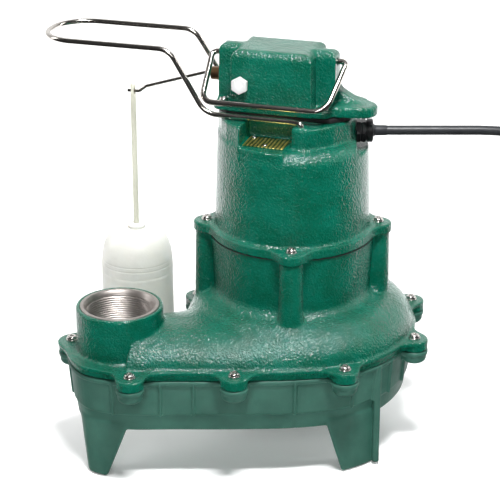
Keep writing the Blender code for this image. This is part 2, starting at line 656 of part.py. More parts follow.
def make_switch_case():
    """Cast cover over the float switch: a notched box on a flange with a wing."""
    plan = rounded_rectangle((CASE_MIDDLE - CASE_HALF, -0.0295),
                             (CASE_MIDDLE + CASE_HALF, 0.0295), 0.009, 3)
    case = place("switch_case", prism("switch_case", [plan], CASE_BOTTOM, CASE_FLANGE_TOP),
                 CASE, CASTING_GREEN)
    wing = prism("wing", [wing_outline()], CASE_BOTTOM, 0.3360)
    fuse(case, place("wing", wing, CASE))
    plan = case_plan()
    rings = [level(inset(plan, depth), z) for depth, z in
             ((0.0, CASE_BOTTOM + 0.001), (0.0, CASE_TOP - 0.0060), (0.0012, CASE_TOP - 0.0022),
              (0.0036, CASE_TOP))]
    fuse(case, place("case_shell", loft("case_shell", rings), CASE))
    gusset = loft("gusset", [
        level(rounded_rectangle((WING_START, -0.005), (0.064, 0.017), 0.003), 0.3340),
        level(rounded_rectangle((WING_START, -0.005), (0.0450, 0.007), 0.001), 0.3480)])
    fuse(case, place("gusset", gusset, CASE))
    hollow = boxes("case_hollow", [((CASE_MIDDLE - 0.034, -0.0245, 0.310),
                                    (CASE_MIDDLE + 0.034, 0.0245, CASE_TOP - 0.0045))])
    cut(case, place("case_hollow", hollow, CASE))
    end_hollow = boxes("end_hollow", [((CASE_MIDDLE - 0.0515, -0.0055, 0.310),
                                       (CASE_MIDDLE + 0.0515, 0.0055, 0.3640))])
    cut(case, place("end_hollow", end_hollow, CASE))
    cut(case, place("wing_hollow", boxes("wing_hollow", [((0.030, -0.006, 0.310),
                                                          (0.052, 0.006, 0.3320))]), CASE))
    bush_hole = cylinders("bush_hole", [(0, 0)], 0.0062 + GAP, -0.010, 0.012, 20)
    bush_hole.transform(along_x())
    cut(case, place("bush_hole", bush_hole, ARM_FRAME))
    bail_holes = cylinders("bail_holes", [(0, 0)], BAIL_RADIUS + 2 * GAP, -0.080, -0.0500, 12)
    bail_holes.transform(along_x())
    cut(case, place("bail_hole_left", bail_holes, BAIL_FRAME))
    right_hole = cylinders("bail_hole_right", [(0, 0)], BAIL_RADIUS + 2 * GAP, 0.0500, 0.080, 12)
    right_hole.transform(along_x())
    cut(case, place("bail_hole_right", right_hole, BAIL_FRAME))
    plug_hole = cylinders("plug_hole", [(0, 0)], 0.0052, -0.012, 0.012, 16)
    plug_hole.transform(along_y())
    cut(case, place("plug_hole", plug_hole, PLUG_FRAME))
    cut(case, place("case_holes", cylinders("case_holes", case_bolts(), 0.0024,
                                            0.310, 0.340, 8), CASE))


def make_test_plug():
    """Hex plug in the front of the case."""
    front = 0.0295
    head = cylinders("test_plug", [(0, 0)], 0.0082, front - 0.0285 + GAP, front - 0.0235, 6)
    head.transform(along_y())
    plug = place("test_plug", head, PLUG_FRAME, BRIGHT_METAL)
    stem = cylinders("plug_stem", [(0, 0)], 0.0049, -0.0070, 0.0020, 16)
    stem.transform(along_y())
    fuse(plug, place("plug_stem", stem, PLUG_FRAME))


def make_bail():
    """Carrying bail: a bent rod hung in both end faces, folded down in front of the case."""
    reach, drop, width = -0.0385, -0.0370, 0.0625
    hole, out = 0.0530, 0.0635
    path = [(-hole, 0.0, 0.0), (-out, 0.0, 0.0), (-width, reach, drop),
            (width - 0.0085, reach, drop), (out, 0.0, 0.0), (hole, 0.0, 0.0)]
    wire("bail_handle", bent_path(path, 0.0085, 4), BAIL_RADIUS, BAIL_FRAME, STAINLESS)


def make_guard():
    """Float guard: one long loop of rod, cranked down beside the case into two posts."""
    top, low, side, near = 0.3810, 0.3245, 0.0365, 0.0405
    x_end, y_end = guard_ends()[1]
    half = [(x_end, y_end, 0.3105), (x_end, y_end, low), (x_end - 0.012, near, low),
            (-0.0725, near - 0.001, low), (-0.0975, side, top - 0.0165), (-0.1080, side, top),
            (GUARD_TIP, side, top)]
    corners = half + [(x, -y, z) for x, y, z in half[::-1]]
    bends = [0.003, 0.006, 0.010, 0.020, 0.012, side - 0.0030]
    path = path_with_bends(corners, bends + bends[::-1])
    wire("float_guard", path, GUARD_RADIUS, CASE, STAINLESS)


def path_with_bends(corners, radii):
    """A path with its own bend radius at each inner corner."""
    path = [Vector(corners[0])]
    for index, radius in enumerate(radii, 1):
        piece = bent_path(corners[index - 1:index + 2], radius, 6 if radius > 0.03 else 3)
        path += piece[1:-1]
    path.append(Vector(corners[-1]))
    return path


# ---------------------------------------------------------------- float
def make_float_switch():
    """Arm, its pivot, the hanging rod and float, and the switch that the arm works."""
    tail = [HOOK[i] - ARM_AXIS[i] for i in range(3)]
    arm = bent_path([(0.030, 0.0, 0.0), (-0.0130, 0.0, 0.0), (-0.0725, 0.0, -0.0190),
                     (tail[0] + 0.006, 0.0, tail[2]), (tail[0] - 0.0050, 0.0, tail[2])], 0.004, 3)
    wire("float_arm", arm, ARM_RADIUS, ARM_FRAME, STAINLESS)
    ball = [(ARM_RADIUS + GAP, 0.0040), (0.0030, 0.0036), (0.0044, 0.0020), (0.0047, 0.0),
            (0.0044, -0.0020), (0.0030, -0.0036), (ARM_RADIUS + GAP, -0.0040)]
    pivot = turned("arm_pivot_ball", ball, ARM_FRAME, BRASS, 16)
    pivot.rotation_euler = (0.0, math.pi / 2, 0.0)
    bush = [(0.0051, 0.0055), (0.0062, 0.0055), (0.0062, -0.0060), (0.0051, -0.0060)]
    bushing = turned("pivot_bushing", bush, ARM_FRAME, BRASS, 16)
    bushing.rotation_euler = (0.0, math.pi / 2, 0.0)
    rod = [(0.0, 0.0075), (0.0026, 0.0065), (0.0026, FLOAT_TOP - HOOK[2] - 0.0140),
           (0.0, FLOAT_TOP - HOOK[2] - 0.0140)]
    float_rod = turned("float_rod", rod, HOOK_FRAME, ROD_WHITE, 12)
    # The eye is a slot, tall enough for the hook to tilt in it as the arm rises.
    wide, tall = ARM_RADIUS + GAP, EYE_HALF_HEIGHT
    eye = boxes("rod_eye", [((-0.010, -wide, -tall), (0.010, wide, tall))])
    cut(float_rod, place("rod_eye", eye, HOOK_FRAME))
    top, low = FLOAT_TOP - HOOK[2], FLOAT_BOTTOM - HOOK[2]
    shell = [(0.0090, top - 0.0025), (0.0200, top - 0.0060), (0.0290, top - 0.0130),
             (0.0340, top - 0.0240), (FLOAT_RADIUS, top - 0.0360), (FLOAT_RADIUS, low + 0.0100),
             (0.0300, low + 0.0020), (0.0220, low), (0.0, low)]
    skin = 0.0022
    inside = [(0.0, low + skin), (0.0215, low + skin), (0.0285, low + 0.0035),
              (FLOAT_RADIUS - skin, low + 0.0110), (FLOAT_RADIUS - skin, top - 0.0360),
              (0.0318, top - 0.0250), (0.0270, top - 0.0150), (0.0190, top - 0.0083),
              (0.0048, top - 0.0050), (0.0048, top - 0.0025)]
    turned("float_body", inside + shell, HOOK_FRAME, FLOAT_WHITE, 28)
    collar = [(0.0029, top + 0.0030), (0.0060, top + 0.0030), (0.0078, top - 0.0020),
              (0.0029, top - 0.0020)]
    turned("float_collar", collar, HOOK_FRAME, FLOAT_WHITE, 16)
    body = boxes("switch_body", [((-0.032, -0.0100, 0.3560), (0.004, 0.0100, 0.3740))])
    place("switch_body", body, CASE, BLACK_PLASTIC)
    lever = boxes("switch_lever", [((-0.0275, -0.0040, -0.0006), (0.0030, 0.0040, 0.0006))])
    place("switch_lever", lever, LEVER_FRAME, BRASS)


# ---------------------------------------------------------------- cord
def make_cord():
    """Gland, cord, coil, tie and plug."""
    nut = cylinders("cord_gland_nut", [(0, 0)], 0.0112, GAP, 0.0100, 6)
    nut.transform(along_x())
    gland = place("cord_gland_nut", nut, GLAND_FRAME, BLACK_PLASTIC)
    bore = cylinders("gland_bore", [(0, 0)], CORD_RADIUS + GAP, -0.010, 0.030, 16)
    bore.transform(along_x())
    cut(gland, place("gland_bore", bore, GLAND_FRAME))
    relief = cylinders("strain_relief", [(0, 0)], 0.0108, 0.0103, 0.0160, 16,
                       top_radius=0.0096)
    relief.transform(along_x())
    sleeve = place("strain_relief", relief, GLAND_FRAME, BLACK_PLASTIC)
    tail = cylinders("relief_tail", [(0, 0)], 0.0066, 0.0150, 0.0280, 16, top_radius=0.0056)
    tail.transform(along_x())
    fuse(sleeve, place("relief_tail", tail, GLAND_FRAME))
    bore_2 = cylinders("relief_bore", [(0, 0)], CORD_RADIUS + GAP, 0.0000, 0.0350, 16)
    bore_2.transform(along_x())
    cut(sleeve, place("relief_bore", bore_2, GLAND_FRAME))
    tube("power_cord", CORD_ROUTE)
    tube("cord_tail", TAIL_ROUTE)
    corner = 0.0040
    section = [(COIL_INNER + corner, COIL_TOP), (COIL_OUTER - corner, COIL_TOP),
               (COIL_OUTER, COIL_TOP - corner), (COIL_OUTER, COIL_BOTTOM + corner),
               (COIL_OUTER - corner, COIL_BOTTOM), (COIL_INNER + corner, COIL_BOTTOM),
               (COIL_INNER, COIL_BOTTOM + corner), (COIL_INNER, COIL_TOP - corner)]
    turned("cord_coil", section, None, CORD_BLACK, 32, COIL_CENTRE)


def tube(name, route):
    """A stretch of cord along a smooth curve through its route."""
    route = [Vector(p) for p in route]
    padded = [2 * route[0] - route[1]] + route + [2 * route[-1] - route[-2]]
    dense = []
    for index in range(len(route) - 1):
        dense += [spline_point(*padded[index:index + 4], step / 8) for step in range(8)]
    dense.append(route[-1])
    length = sum((b - a).length for a, b in zip(dense, dense[1:]))
    points = even_points(dense, max(4, round(length / CORD_STEP)))
    wire(name, points, CORD_RADIUS, None, CORD_BLACK)


# ---------------------------------------------------------------- fasteners and plate
def screw(name, centre, parent, seat, tip, head_radius, shank_radius, material):
    section = [(0.0, seat + 0.0040), (head_radius * 0.75, seat + 0.0040),
               (head_radius, seat + 0.0028), (head_radius, seat + GAP),
               (shank_radius, seat + GAP), (shank_radius, tip), (0.0, tip)]
    turned(name, section, parent, material, 8, centre)


def make_fasteners():
    for index, centre in enumerate(VOLUTE_SCREWS, 1):
        screw(f"volute_screw_{index}", centre, SHAFT, FLANGE_TOP, 0.0930, 0.0056, 0.0026, STEEL)
    for index, centre in enumerate(motor_bolts(), 1):
        screw(f"motor_screw_{index}", centre, SHAFT, MOTOR_FLANGE_TOP, 0.180, 0.0052, 0.0026, STEEL)
    for index, centre in enumerate(case_bolts(), 1):
        screw(f"case_screw_{index}", centre, CASE, CASE_FLANGE_TOP, 0.308, 0.0046, 0.0020, STEEL)


def make_nameplate():
    """Thin plate on the ledge, held by two drive pins."""
    outline = [Vector(p) for p in ((-0.0320, -0.0560), (0.0060, -0.0580), (0.0080, -0.0300),
                                   (-0.0320, -0.0300))]
    low = LEDGE_TOP + GAP
    plate = place("nameplate", prism("nameplate", [outline], low, low + 0.0006), CASE, BRASS)
    holes = cylinders("plate_holes", PLATE_PINS, 0.0014, 0.295, 0.310, 8)
    cut(plate, place("plate_holes", holes, CASE))
    for index, centre in enumerate(PLATE_PINS, 1):
        screw_low = low + 0.0006
        section = [(0.0, screw_low + 0.0012), (0.0018, screw_low + 0.0010),
                   (0.0020, screw_low + GAP), (0.0011, screw_low + GAP), (0.0011, 0.3000),
                   (0.0, 0.3000)]
        turned(f"nameplate_pin_{index}", section, CASE, STEEL, 8, centre)


# ---------------------------------------------------------------- plug and tie
def make_plug():
    """Moulded plug lying on the floor beside the coil, with its three contacts."""
    body = loft("cord_plug", [
        level(rounded_rectangle((-0.0075, -0.0075), (0.0075, 0.0075), 0.005), GAP),
        level(rounded_rectangle((-0.0110, -0.0100), (0.0110, 0.0100), 0.006), 0.0160),
        level(rounded_rectangle((-0.0130, -0.0140), (0.0130, 0.0140), 0.007), 0.0380)])
    body.transform(along_x())
    place("cord_plug", body, PLUG_SEAT, BLACK_PLASTIC)
    low, high = 0.0380 + GAP, 0.0380 + 0.0160
    for name, middle in (("plug_blade_1", -0.0063), ("plug_blade_2", 0.0063)):
        blade = boxes(name, [((-0.0060, middle - 0.0008, low), (0.0004, middle + 0.0008, high))])
        blade.transform(along_x())
        place(name, blade, PLUG_SEAT, BRIGHT_METAL)
    pin = cylinders("plug_ground_pin", [(0.0060, 0.0)], 0.0024, low, high + 0.0030, 10)
    pin.transform(along_x())
    place("plug_ground_pin", pin, PLUG_SEAT, BRIGHT_METAL)


def make_tie():
    """Strap round one side of the coil."""
    low, high = COIL_INNER - TIE_CLEARANCE, COIL_OUTER + GAP
    skin = TIE_THICKNESS
    outer = rounded_rectangle((low - skin, COIL_BOTTOM - GAP - skin),
                              (high + skin, COIL_TOP + GAP + skin), 0.0045)
    inner = rounded_rectangle((low, COIL_BOTTOM - GAP), (high, COIL_TOP + GAP), 0.0036)
    strap = prism("cord_tie", [outer, inner], -0.006, 0.006)
    strap.transform(Matrix.Rotation(math.pi / 2, 4, "X"))
    tie = place("cord_tie", strap, COIL_FRAME, BLACK_PLASTIC)
    tie.rotation_euler = (0.0, 0.0, math.radians(-150))


clear_scene()
PARTS = new_collection("submersible_sump_pump")
CUTTERS = new_collection("cutters")

CASTING_GREEN = new_material("painted_casting", (0.010, 0.135, 0.075), 0.28)
BASE_GREEN = new_material("moulded_base", (0.030, 0.150, 0.100), 0.42)
RUBBER = new_material("black_rubber", (0.012, 0.012, 0.012), 0.70)
STEEL = new_material("screw_steel", (0.55, 0.53, 0.50), 0.30, 1.0)
CORE_STEEL = new_material("lamination_steel", (0.30, 0.30, 0.31), 0.45, 1.0)
STAINLESS = new_material("stainless_rod", (0.62, 0.60, 0.57), 0.22, 1.0)
BRIGHT_METAL = new_material("plated_metal", (0.85, 0.85, 0.84), 0.18, 1.0)
BRASS = new_material("brass", (0.55, 0.42, 0.12), 0.35, 1.0)
COPPER = new_material("enamelled_copper", (0.45, 0.16, 0.06), 0.40, 0.8)
BLACK_PLASTIC = new_material("black_plastic", (0.015, 0.015, 0.017), 0.40)
CORD_BLACK = new_material("cord_jacket", (0.030, 0.032, 0.036), 0.45)
FLOAT_WHITE = new_material("float_white", (0.78, 0.77, 0.72), 0.40)
ROD_WHITE = new_material("rod_white", (0.70, 0.69, 0.62), 0.45)

SHAFT = new_empty("shaft_axis", (SHAFT_X, SHAFT_Y, 0.0))
CASE = new_empty("case_frame", (0.0, 0.0, 0.0), CASE_YAW, SHAFT)
BAIL_FRAME = new_empty("bail_axis", BAIL_AXIS, 0.0, CASE)
ARM_FRAME = new_empty("arm_axis", ARM_AXIS, 0.0, CASE)
HOOK_FRAME = new_empty("hook_axis", HOOK, 0.0, CASE)
LEVER_FRAME = new_empty("lever_axis", (-0.012, 0.0, 0.3535), 0.0, CASE)
PLUG_FRAME = new_empty("test_plug_axis", (-0.0421, -0.0290, 0.3515), 0.0, CASE)
GLAND_FRAME = new_empty("gland_axis", GLAND, 0.0, SHAFT)
PLUG_SEAT = new_empty("cord_plug_seat", PLUG_REAR)
COIL_FRAME = new_empty("coil_axis", (*COIL_CENTRE, 0.0))

make_base()
make_base_gasket()
make_pump_housing()
make_housing_gasket()
make_motor_housing()
make_motor_inside()
make_case_gasket()
make_switch_case()
make_test_plug()
make_bail()
make_guard()
make_float_switch()
make_fasteners()
make_nameplate()
make_cord()
make_plug()
make_tie()
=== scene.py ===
"""Looks of the submersible sump pump: fine meshes, materials, floor, light and camera.

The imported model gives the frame.  The castings and the base are built here as signed
distances on a grid and meshed, so that their fillets and rounded edges are real.
"""
import json
import math
from functools import reduce
from types import SimpleNamespace

import bmesh
import bpy
import numpy as np
import openvdb
from mathutils import Matrix, Vector


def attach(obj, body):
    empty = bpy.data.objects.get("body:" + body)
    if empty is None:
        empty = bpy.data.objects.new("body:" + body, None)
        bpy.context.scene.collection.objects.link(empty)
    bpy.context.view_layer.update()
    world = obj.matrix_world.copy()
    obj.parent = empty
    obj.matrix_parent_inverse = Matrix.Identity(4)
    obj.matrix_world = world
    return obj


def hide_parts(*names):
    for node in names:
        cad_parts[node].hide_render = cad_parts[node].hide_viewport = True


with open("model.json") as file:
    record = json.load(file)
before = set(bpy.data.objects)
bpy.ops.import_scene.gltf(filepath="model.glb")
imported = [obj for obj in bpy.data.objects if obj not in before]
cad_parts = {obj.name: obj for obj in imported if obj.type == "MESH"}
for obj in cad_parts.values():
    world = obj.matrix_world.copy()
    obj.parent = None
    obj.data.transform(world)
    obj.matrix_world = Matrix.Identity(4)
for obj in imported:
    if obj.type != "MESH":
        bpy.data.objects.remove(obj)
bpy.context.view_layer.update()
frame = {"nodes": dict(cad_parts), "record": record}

# ---------------------------------------------------------------- sizes
SHAFT = Vector((0.0503, 0.0104, 0.0))
CASE_YAW = math.radians(-17)
MOTOR_YAW = math.radians(-2)
GAP = 0.0003

BASE_BOTTOM, BASE_SKIRT = 0.050, 0.068
FLANGE_BOTTOM, FLANGE_TOP = 0.105, 0.114
SEAM = 0.1041  # underside of the upper casting, 0.9 mm below the CAD's, for a thin seal
GASKET = 0.0008
VOLUTE_TOP = 0.152
DISCHARGE_TOP = 0.157
JOINT = 0.2040
MOTOR_FLANGE_TOP = 0.214
LEDGE_TOP, SIDE_LEDGE_TOP = 0.303, 0.291
PAD_TOP = 0.321
CASE_BOTTOM, CASE_FLANGE_TOP, CASE_TOP = 0.3256, 0.3310, 0.3830

ADAPTER_RADIUS, ADAPTER_WAIST = 0.0765, 0.0740
MOTOR_RADIUS_BOTTOM, MOTOR_RADIUS_TOP = 0.0725, 0.0695
MOTOR_FLANGE_RADIUS = 0.0775
MOTOR_BOLT_RADIUS = 0.0807
MOTOR_BORE = 0.0645
EAR_RADIUS = 0.0125

LOBE_CENTRE, LOBE_RADIUS = (-0.1575, -0.0685), 0.053
DISCHARGE, DISCHARGE_RADIUS = (-0.1600, -0.0665), 0.0403
INCH, THREADS_PER_INCH = 0.0254, 11.5
VOLUTE_EDGE = ((-67, 0.1185), (-45, 0.1185), (-23, 0.1180), (-2, 0.1190), (20, 0.1190),
               (41, 0.1185), (63, 0.1165), (85, 0.1135), (106, 0.1095), (128, 0.1045))
HIDDEN_EDGE = ((151, 0.1020), (167, 0.1010), (182, 0.1035), (215, 0.1080), (250, 0.1140))
VOLUTE_SCREWS = ((-0.2067, -0.0511), (-0.1478, -0.1324), (-0.0543, -0.1292),
                 (0.0459, -0.1159), (0.1144, -0.0480), (0.1185, 0.0426),
                 (0.0558, 0.1096), (-0.0320, 0.1115), (-0.0912, 0.0541), (-0.1220, -0.0080))
# Each leg's corners: low and high at its top, then low and high at its foot.
LEG_TOP = 0.060
LEGS = (((-0.1990, -0.1150), (-0.1497, -0.0700), (-0.1917, -0.1110), (-0.1725, -0.0840)),
        ((0.0280, -0.1150), (0.0812, -0.0700), (0.0455, -0.1050), (0.0812, -0.0740)),
        ((-0.0200, 0.0640), (0.0420, 0.1050), (-0.0060, 0.0700), (0.0280, 0.0990)))
PUMP_LOW, PUMP_HIGH = (-0.224, -0.149), (0.136, 0.127)  # plan of the grids round the pump end
BAIL_RADIUS, GUARD_RADIUS, ARM_RADIUS = 0.0027, 0.0024, 0.0015
CASE_MIDDLE, CASE_HALF, CASE_DEPTH, END_DEPTH, NOTCH_X = -0.014, 0.056, 0.029, 0.0095, 0.038
WING_START = 0.0392
BAIL_AXIS = Vector((CASE_MIDDLE, 0.0, 0.3725))
ARM_AXIS = Vector((-0.0715, 0.0, 0.3515))
HOOK = Vector((-0.1570, 0.0, 0.3270))
GUARD_TIP = -0.2371
PLATE_PINS = ((-0.0120, -0.0525), (-0.0270, -0.0345))
FLOAT_BOTTOM = 0.070
TEST_PLUG = Vector((-0.0421, -0.0290, 0.3515))
GLAND = Vector((0.0575, 0.0, 0.3030))

CORD_RADIUS = 0.0044
CORD_EXIT = (0.1368, 0.0104, 0.3030)
CORD_ROUTE = (CORD_EXIT, (0.1638, 0.0104, 0.3030), (0.1988, 0.0104, 0.3030),
              (0.2338, 0.0104, 0.3026), (0.2658, 0.0102, 0.2990), (0.2958, 0.0096, 0.2895),
              (0.3238, 0.0084, 0.2725), (0.3468, 0.0064, 0.2480), (0.3638, 0.0034, 0.2180),
              (0.3743, -0.0001, 0.1850), (0.3803, -0.0046, 0.1510), (0.3828, -0.0111, 0.1175),
              (0.3838, -0.0206, 0.0860), (0.3833, -0.0356, 0.0590), (0.3823, -0.0556, 0.0410),
              (0.3814, -0.0766, 0.0345), (0.3788, -0.0976, 0.0335))
COIL_CENTRE = (0.3288, -0.0816)
COIL_INNER, COIL_OUTER, COIL_BOTTOM, COIL_TOP = 0.0350, 0.0703, 0.0014, 0.0282
PLUG_REAR = Vector((0.3436, 0.0064, 0.0134))

IN_SHAFT = Matrix.Translation(SHAFT)
IN_CASE = IN_SHAFT @ Matrix.Rotation(CASE_YAW, 4, "Z")
SMOOTH_ANGLE = math.radians(40)
SWEEP_EDGE = 0.30  # the floor shows in gloss only behind this


# ---------------------------------------------------------------- paths
def spline_point(p0, p1, p2, p3, t):
    return 0.5 * ((2 * p1) + (p2 - p0) * t + (2 * p0 - 5 * p1 + 4 * p2 - p3) * t ** 2
                  + (3 * p1 - p0 - 3 * p2 + p3) * t ** 3)


def through(points, steps):
    """A smooth open curve through points."""
    points = [Vector(p) for p in points]
    padded = [2 * points[0] - points[1]] + points + [2 * points[-1] - points[-2]]
    dense = [spline_point(*padded[i:i + 4], s / steps)
             for i in range(len(points) - 1) for s in range(steps)]
    return dense + [points[-1]]


def closed_curve(points, steps):
    points = [Vector(p) for p in points]
    count = len(points)
    return [spline_point(*(points[(i + k) % count] for k in (-1, 0, 1, 2)), s / steps)
            for i in range(count) for s in range(steps)]


def bent_path(corners, radii, steps=14):
    """A path through corner points with an arc at each bend."""
    corners = [Vector(c) for c in corners]
    if not isinstance(radii, (list, tuple)):
        radii = [radii] * (len(corners) - 2)
    path = [corners[0]]
    for before, corner, after, radius in zip(corners, corners[1:], corners[2:], radii):
        back, ahead = before - corner, after - corner
        half = back.angle(ahead) / 2
        reach = min(radius / math.tan(half), 0.49 * min(back.length, ahead.length))
        start = corner + back.normalized() * reach
        end = corner + ahead.normalized() * reach
        centre = corner + (back.normalized() + ahead.normalized()).normalized() * (
            reach / math.cos(half))
        swing = (start - centre).angle(end - centre)
        for step in range(steps + 1):
            share = step / steps
            path.append(centre
                        + (start - centre) * (math.sin((1 - share) * swing) / math.sin(swing))
                        + (end - centre) * (math.sin(share * swing) / math.sin(swing)))
    path.append(corners[-1])
    return path


def ease(t):
    t = min(max(t, 0.0), 1.0)
    return t * t * (3 - 2 * t)


# ---------------------------------------------------------------- materials
class Finish:
    """A procedural material, built up node by node."""

    def __init__(self, name, colour, roughness, metallic=0.0, **sockets):
        self.material = bpy.data.materials.new(name)
        self.material.use_nodes = True
        self.tree = self.material.node_tree
        self.shader = self.tree.nodes["Principled BSDF"]
        self.place = self.tree.nodes.new("ShaderNodeTexCoord").outputs["Object"]
        self.last_bump = None
        self.surface("Base Color", (*colour, 1.0))
        self.surface("Roughness", roughness)
        self.surface("Metallic", metallic)
        for socket, value in sockets.items():
            self.surface(socket.replace("_", " "), value)

    def set(self, node, socket, value):
        if isinstance(value, bpy.types.NodeSocket):
            self.tree.links.new(value, node.inputs[socket])
        else:
            node.inputs[socket].default_value = value

    def surface(self, socket, value):
        self.set(self.shader, socket, value)

    def node(self, kind, **sockets):
        node = self.tree.nodes.new("ShaderNode" + kind)
        for socket, value in sockets.items():
            self.set(node, socket.replace("_", " "), value)
        return node

    def stretched(self, scale):
        mapping = self.node("Mapping", Vector=self.place)
        mapping.inputs["Scale"].default_value = scale
        return mapping.outputs[0]

    def noise(self, size, detail=2.0, roughness=0.5, place=None):
        """Noise whose features are about the given size in metres."""
        return self.node("TexNoise", Vector=place or self.place, Scale=1.0 / size,
                         Detail=detail, Roughness=roughness).outputs["Fac"]

    def cells(self, size, place=None):
        return self.node("TexVoronoi", Vector=place or self.place,
                         Scale=1.0 / size).outputs["Distance"]

    def ramp(self, value, low, high, to_low=0.0, to_high=1.0):
        return self.node("MapRange", Value=value, From_Min=low, From_Max=high, To_Min=to_low,
                         To_Max=to_high).outputs[0]

    def mix(self, share, first, second):
        node = self.node("Mix")
        node.data_type = "RGBA"
        self.set(node, "Factor", share)
        for index, value in ((6, first), (7, second)):
            linked = isinstance(value, bpy.types.NodeSocket)
            self.set(node, index, value if linked else (*value, 1.0))
        return node.outputs[2]

    def product(self, first, second):
        node = self.node("Math")
        node.operation = "MULTIPLY"
        self.set(node, 0, first)
        self.set(node, 1, second)
        return node.outputs[0]

    def bump(self, height, depth, strength=1.0):
        node = self.node("Bump", Height=height, Strength=strength, Distance=depth)
        if self.last_bump is not None:
            self.tree.links.new(self.last_bump, node.inputs["Normal"])
        self.last_bump = node.outputs[0]
        for socket in ("Normal", "Coat Normal"):
            self.tree.links.new(self.last_bump, self.shader.inputs[socket])


def casting_finish():
    """Glossy enamel over a sand-cast skin."""
    finish = Finish("green_enamel", (0.0, 0.09, 0.05), 0.16, Specular_IOR_Level=0.42,
                    Coat_Weight=0.40, Coat_Roughness=0.04)
    broad = finish.noise(0.022, 3.0, 0.6)
    colour = finish.mix(finish.ramp(broad, 0.35, 0.65), (0.0002, 0.082, 0.046),
                        (0.0008, 0.112, 0.070))
    grain = finish.noise(0.0020, 2.0, 0.55)
    colour = finish.mix(finish.ramp(grain, 0.52, 0.78, 0.0, 0.30), colour, (0.012, 0.190, 0.135))
    finish.surface("Base Color", colour)
    finish.surface("Roughness", finish.ramp(finish.noise(0.006, 3.0), 0.3, 0.7, 0.08, 0.15))
    finish.bump(finish.noise(0.0090, 2.0), 0.0012, 0.6)
    finish.bump(grain, 0.00130, 1.0)
    finish.bump(finish.noise(0.0009, 2.0), 0.00012, 0.8)
    return finish.material


def base_finish():
    """Satin grey-green moulding with a faint grain."""
    finish = Finish("moulded_base", (0.05, 0.155, 0.115), 0.40, Specular_IOR_Level=0.32)
    broad = finish.noise(0.03, 3.0, 0.6)
    colour = finish.mix(finish.ramp(broad, 0.3, 0.7), (0.027, 0.102, 0.075), (0.042, 0.139, 0.104))
    finish.surface("Base Color", colour)
    finish.surface("Roughness", finish.ramp(finish.noise(0.010, 4.0), 0.3, 0.7, 0.32, 0.46))
    finish.bump(finish.noise(0.012, 2.0), 0.0010, 0.30)
    finish.bump(finish.noise(0.0012, 2.0), 0.00020, 0.45)
    return finish.material


def metal_finish(name, colour, roughness, grain=(1.0, 1.0, 1.0), dull=0.10):
    """Metal with fine drawn or turned marks along one direction."""
    finish = Finish(name, colour, roughness, 1.0)
    marks = finish.noise(0.0016, 4.0, 0.7, finish.stretched(grain))
    finish.surface("Roughness", finish.ramp(marks, 0.25, 0.75, roughness - dull / 2,
                                            roughness + dull))
    worn = finish.noise(0.007, 3.0, 0.6)
    finish.surface("Base Color", finish.mix(finish.ramp(worn, 0.3, 0.7),
                                            tuple(c * 0.80 for c in colour), colour))
    finish.bump(marks, 0.00002, 0.4)
    return finish.material


def plain_finish(name, colour, roughness, grain_size, depth, lighter=1.3, **sockets):
    """Moulded plastic or rubber: fine grain and slight colour variation."""
    finish = Finish(name, colour, roughness, **sockets)
    broad = finish.noise(0.012, 3.0, 0.6)
    light = tuple(min(1.0, c * lighter) for c in colour)
    finish.surface("Base Color", finish.mix(finish.ramp(broad, 0.3, 0.7), colour, light))
    finish.surface("Roughness", finish.ramp(finish.noise(0.004, 3.0), 0.3, 0.7,
                                            roughness * 0.85, roughness * 1.15))
    finish.bump(finish.noise(grain_size, 2.0), depth, 0.5)
    return finish.material


def plate_finish():
    """Thin brass plate with plain embossed bars where a real one has its data."""
    finish = Finish("brass_plate", (0.62, 0.50, 0.10), 0.26, 1.0)
    turned = finish.node("Mapping", Vector=finish.place)
    turned.inputs["Rotation"].default_value = (0.0, 0.0, -CASE_YAW)
    wave = finish.node("TexWave", Vector=turned.outputs[0], Scale=88.0, Distortion=1.2,
                       Detail=2.0)
    wave.bands_direction = "X"
    bars = wave.outputs["Fac"]
    cells = finish.cells(0.0022, turned.outputs[0])
    dark = finish.product(finish.ramp(bars, 0.45, 0.60), finish.ramp(cells, 0.1, 0.5, 0.5, 1.0))
    finish.surface("Base Color", finish.mix(dark, (0.78, 0.66, 0.20), (0.10, 0.17, 0.05)))
    finish.surface("Roughness", finish.ramp(cells, 0.0, 0.6, 0.2, 0.45))
    finish.bump(bars, 0.00030, 0.5)
    return finish.material


def winding_finish():
    finish = Finish("wound_copper", (0.45, 0.16, 0.06), 0.35, 0.8)
    wave = finish.node("TexWave", Vector=finish.stretched((1.0, 1.0, 3.0)), Scale=220.0,
                       Distortion=3.0)
    finish.bump(wave.outputs["Fac"], 0.0004, 0.8)
    return finish.material


def lamination_finish():
    finish = Finish("stacked_sheet", (0.30, 0.30, 0.31), 0.42, 1.0)
    wave = finish.node("TexWave", Vector=finish.place, Scale=320.0)
    wave.bands_direction = "Z"
    finish.bump(wave.outputs["Fac"], 0.0002, 0.7)
    return finish.material


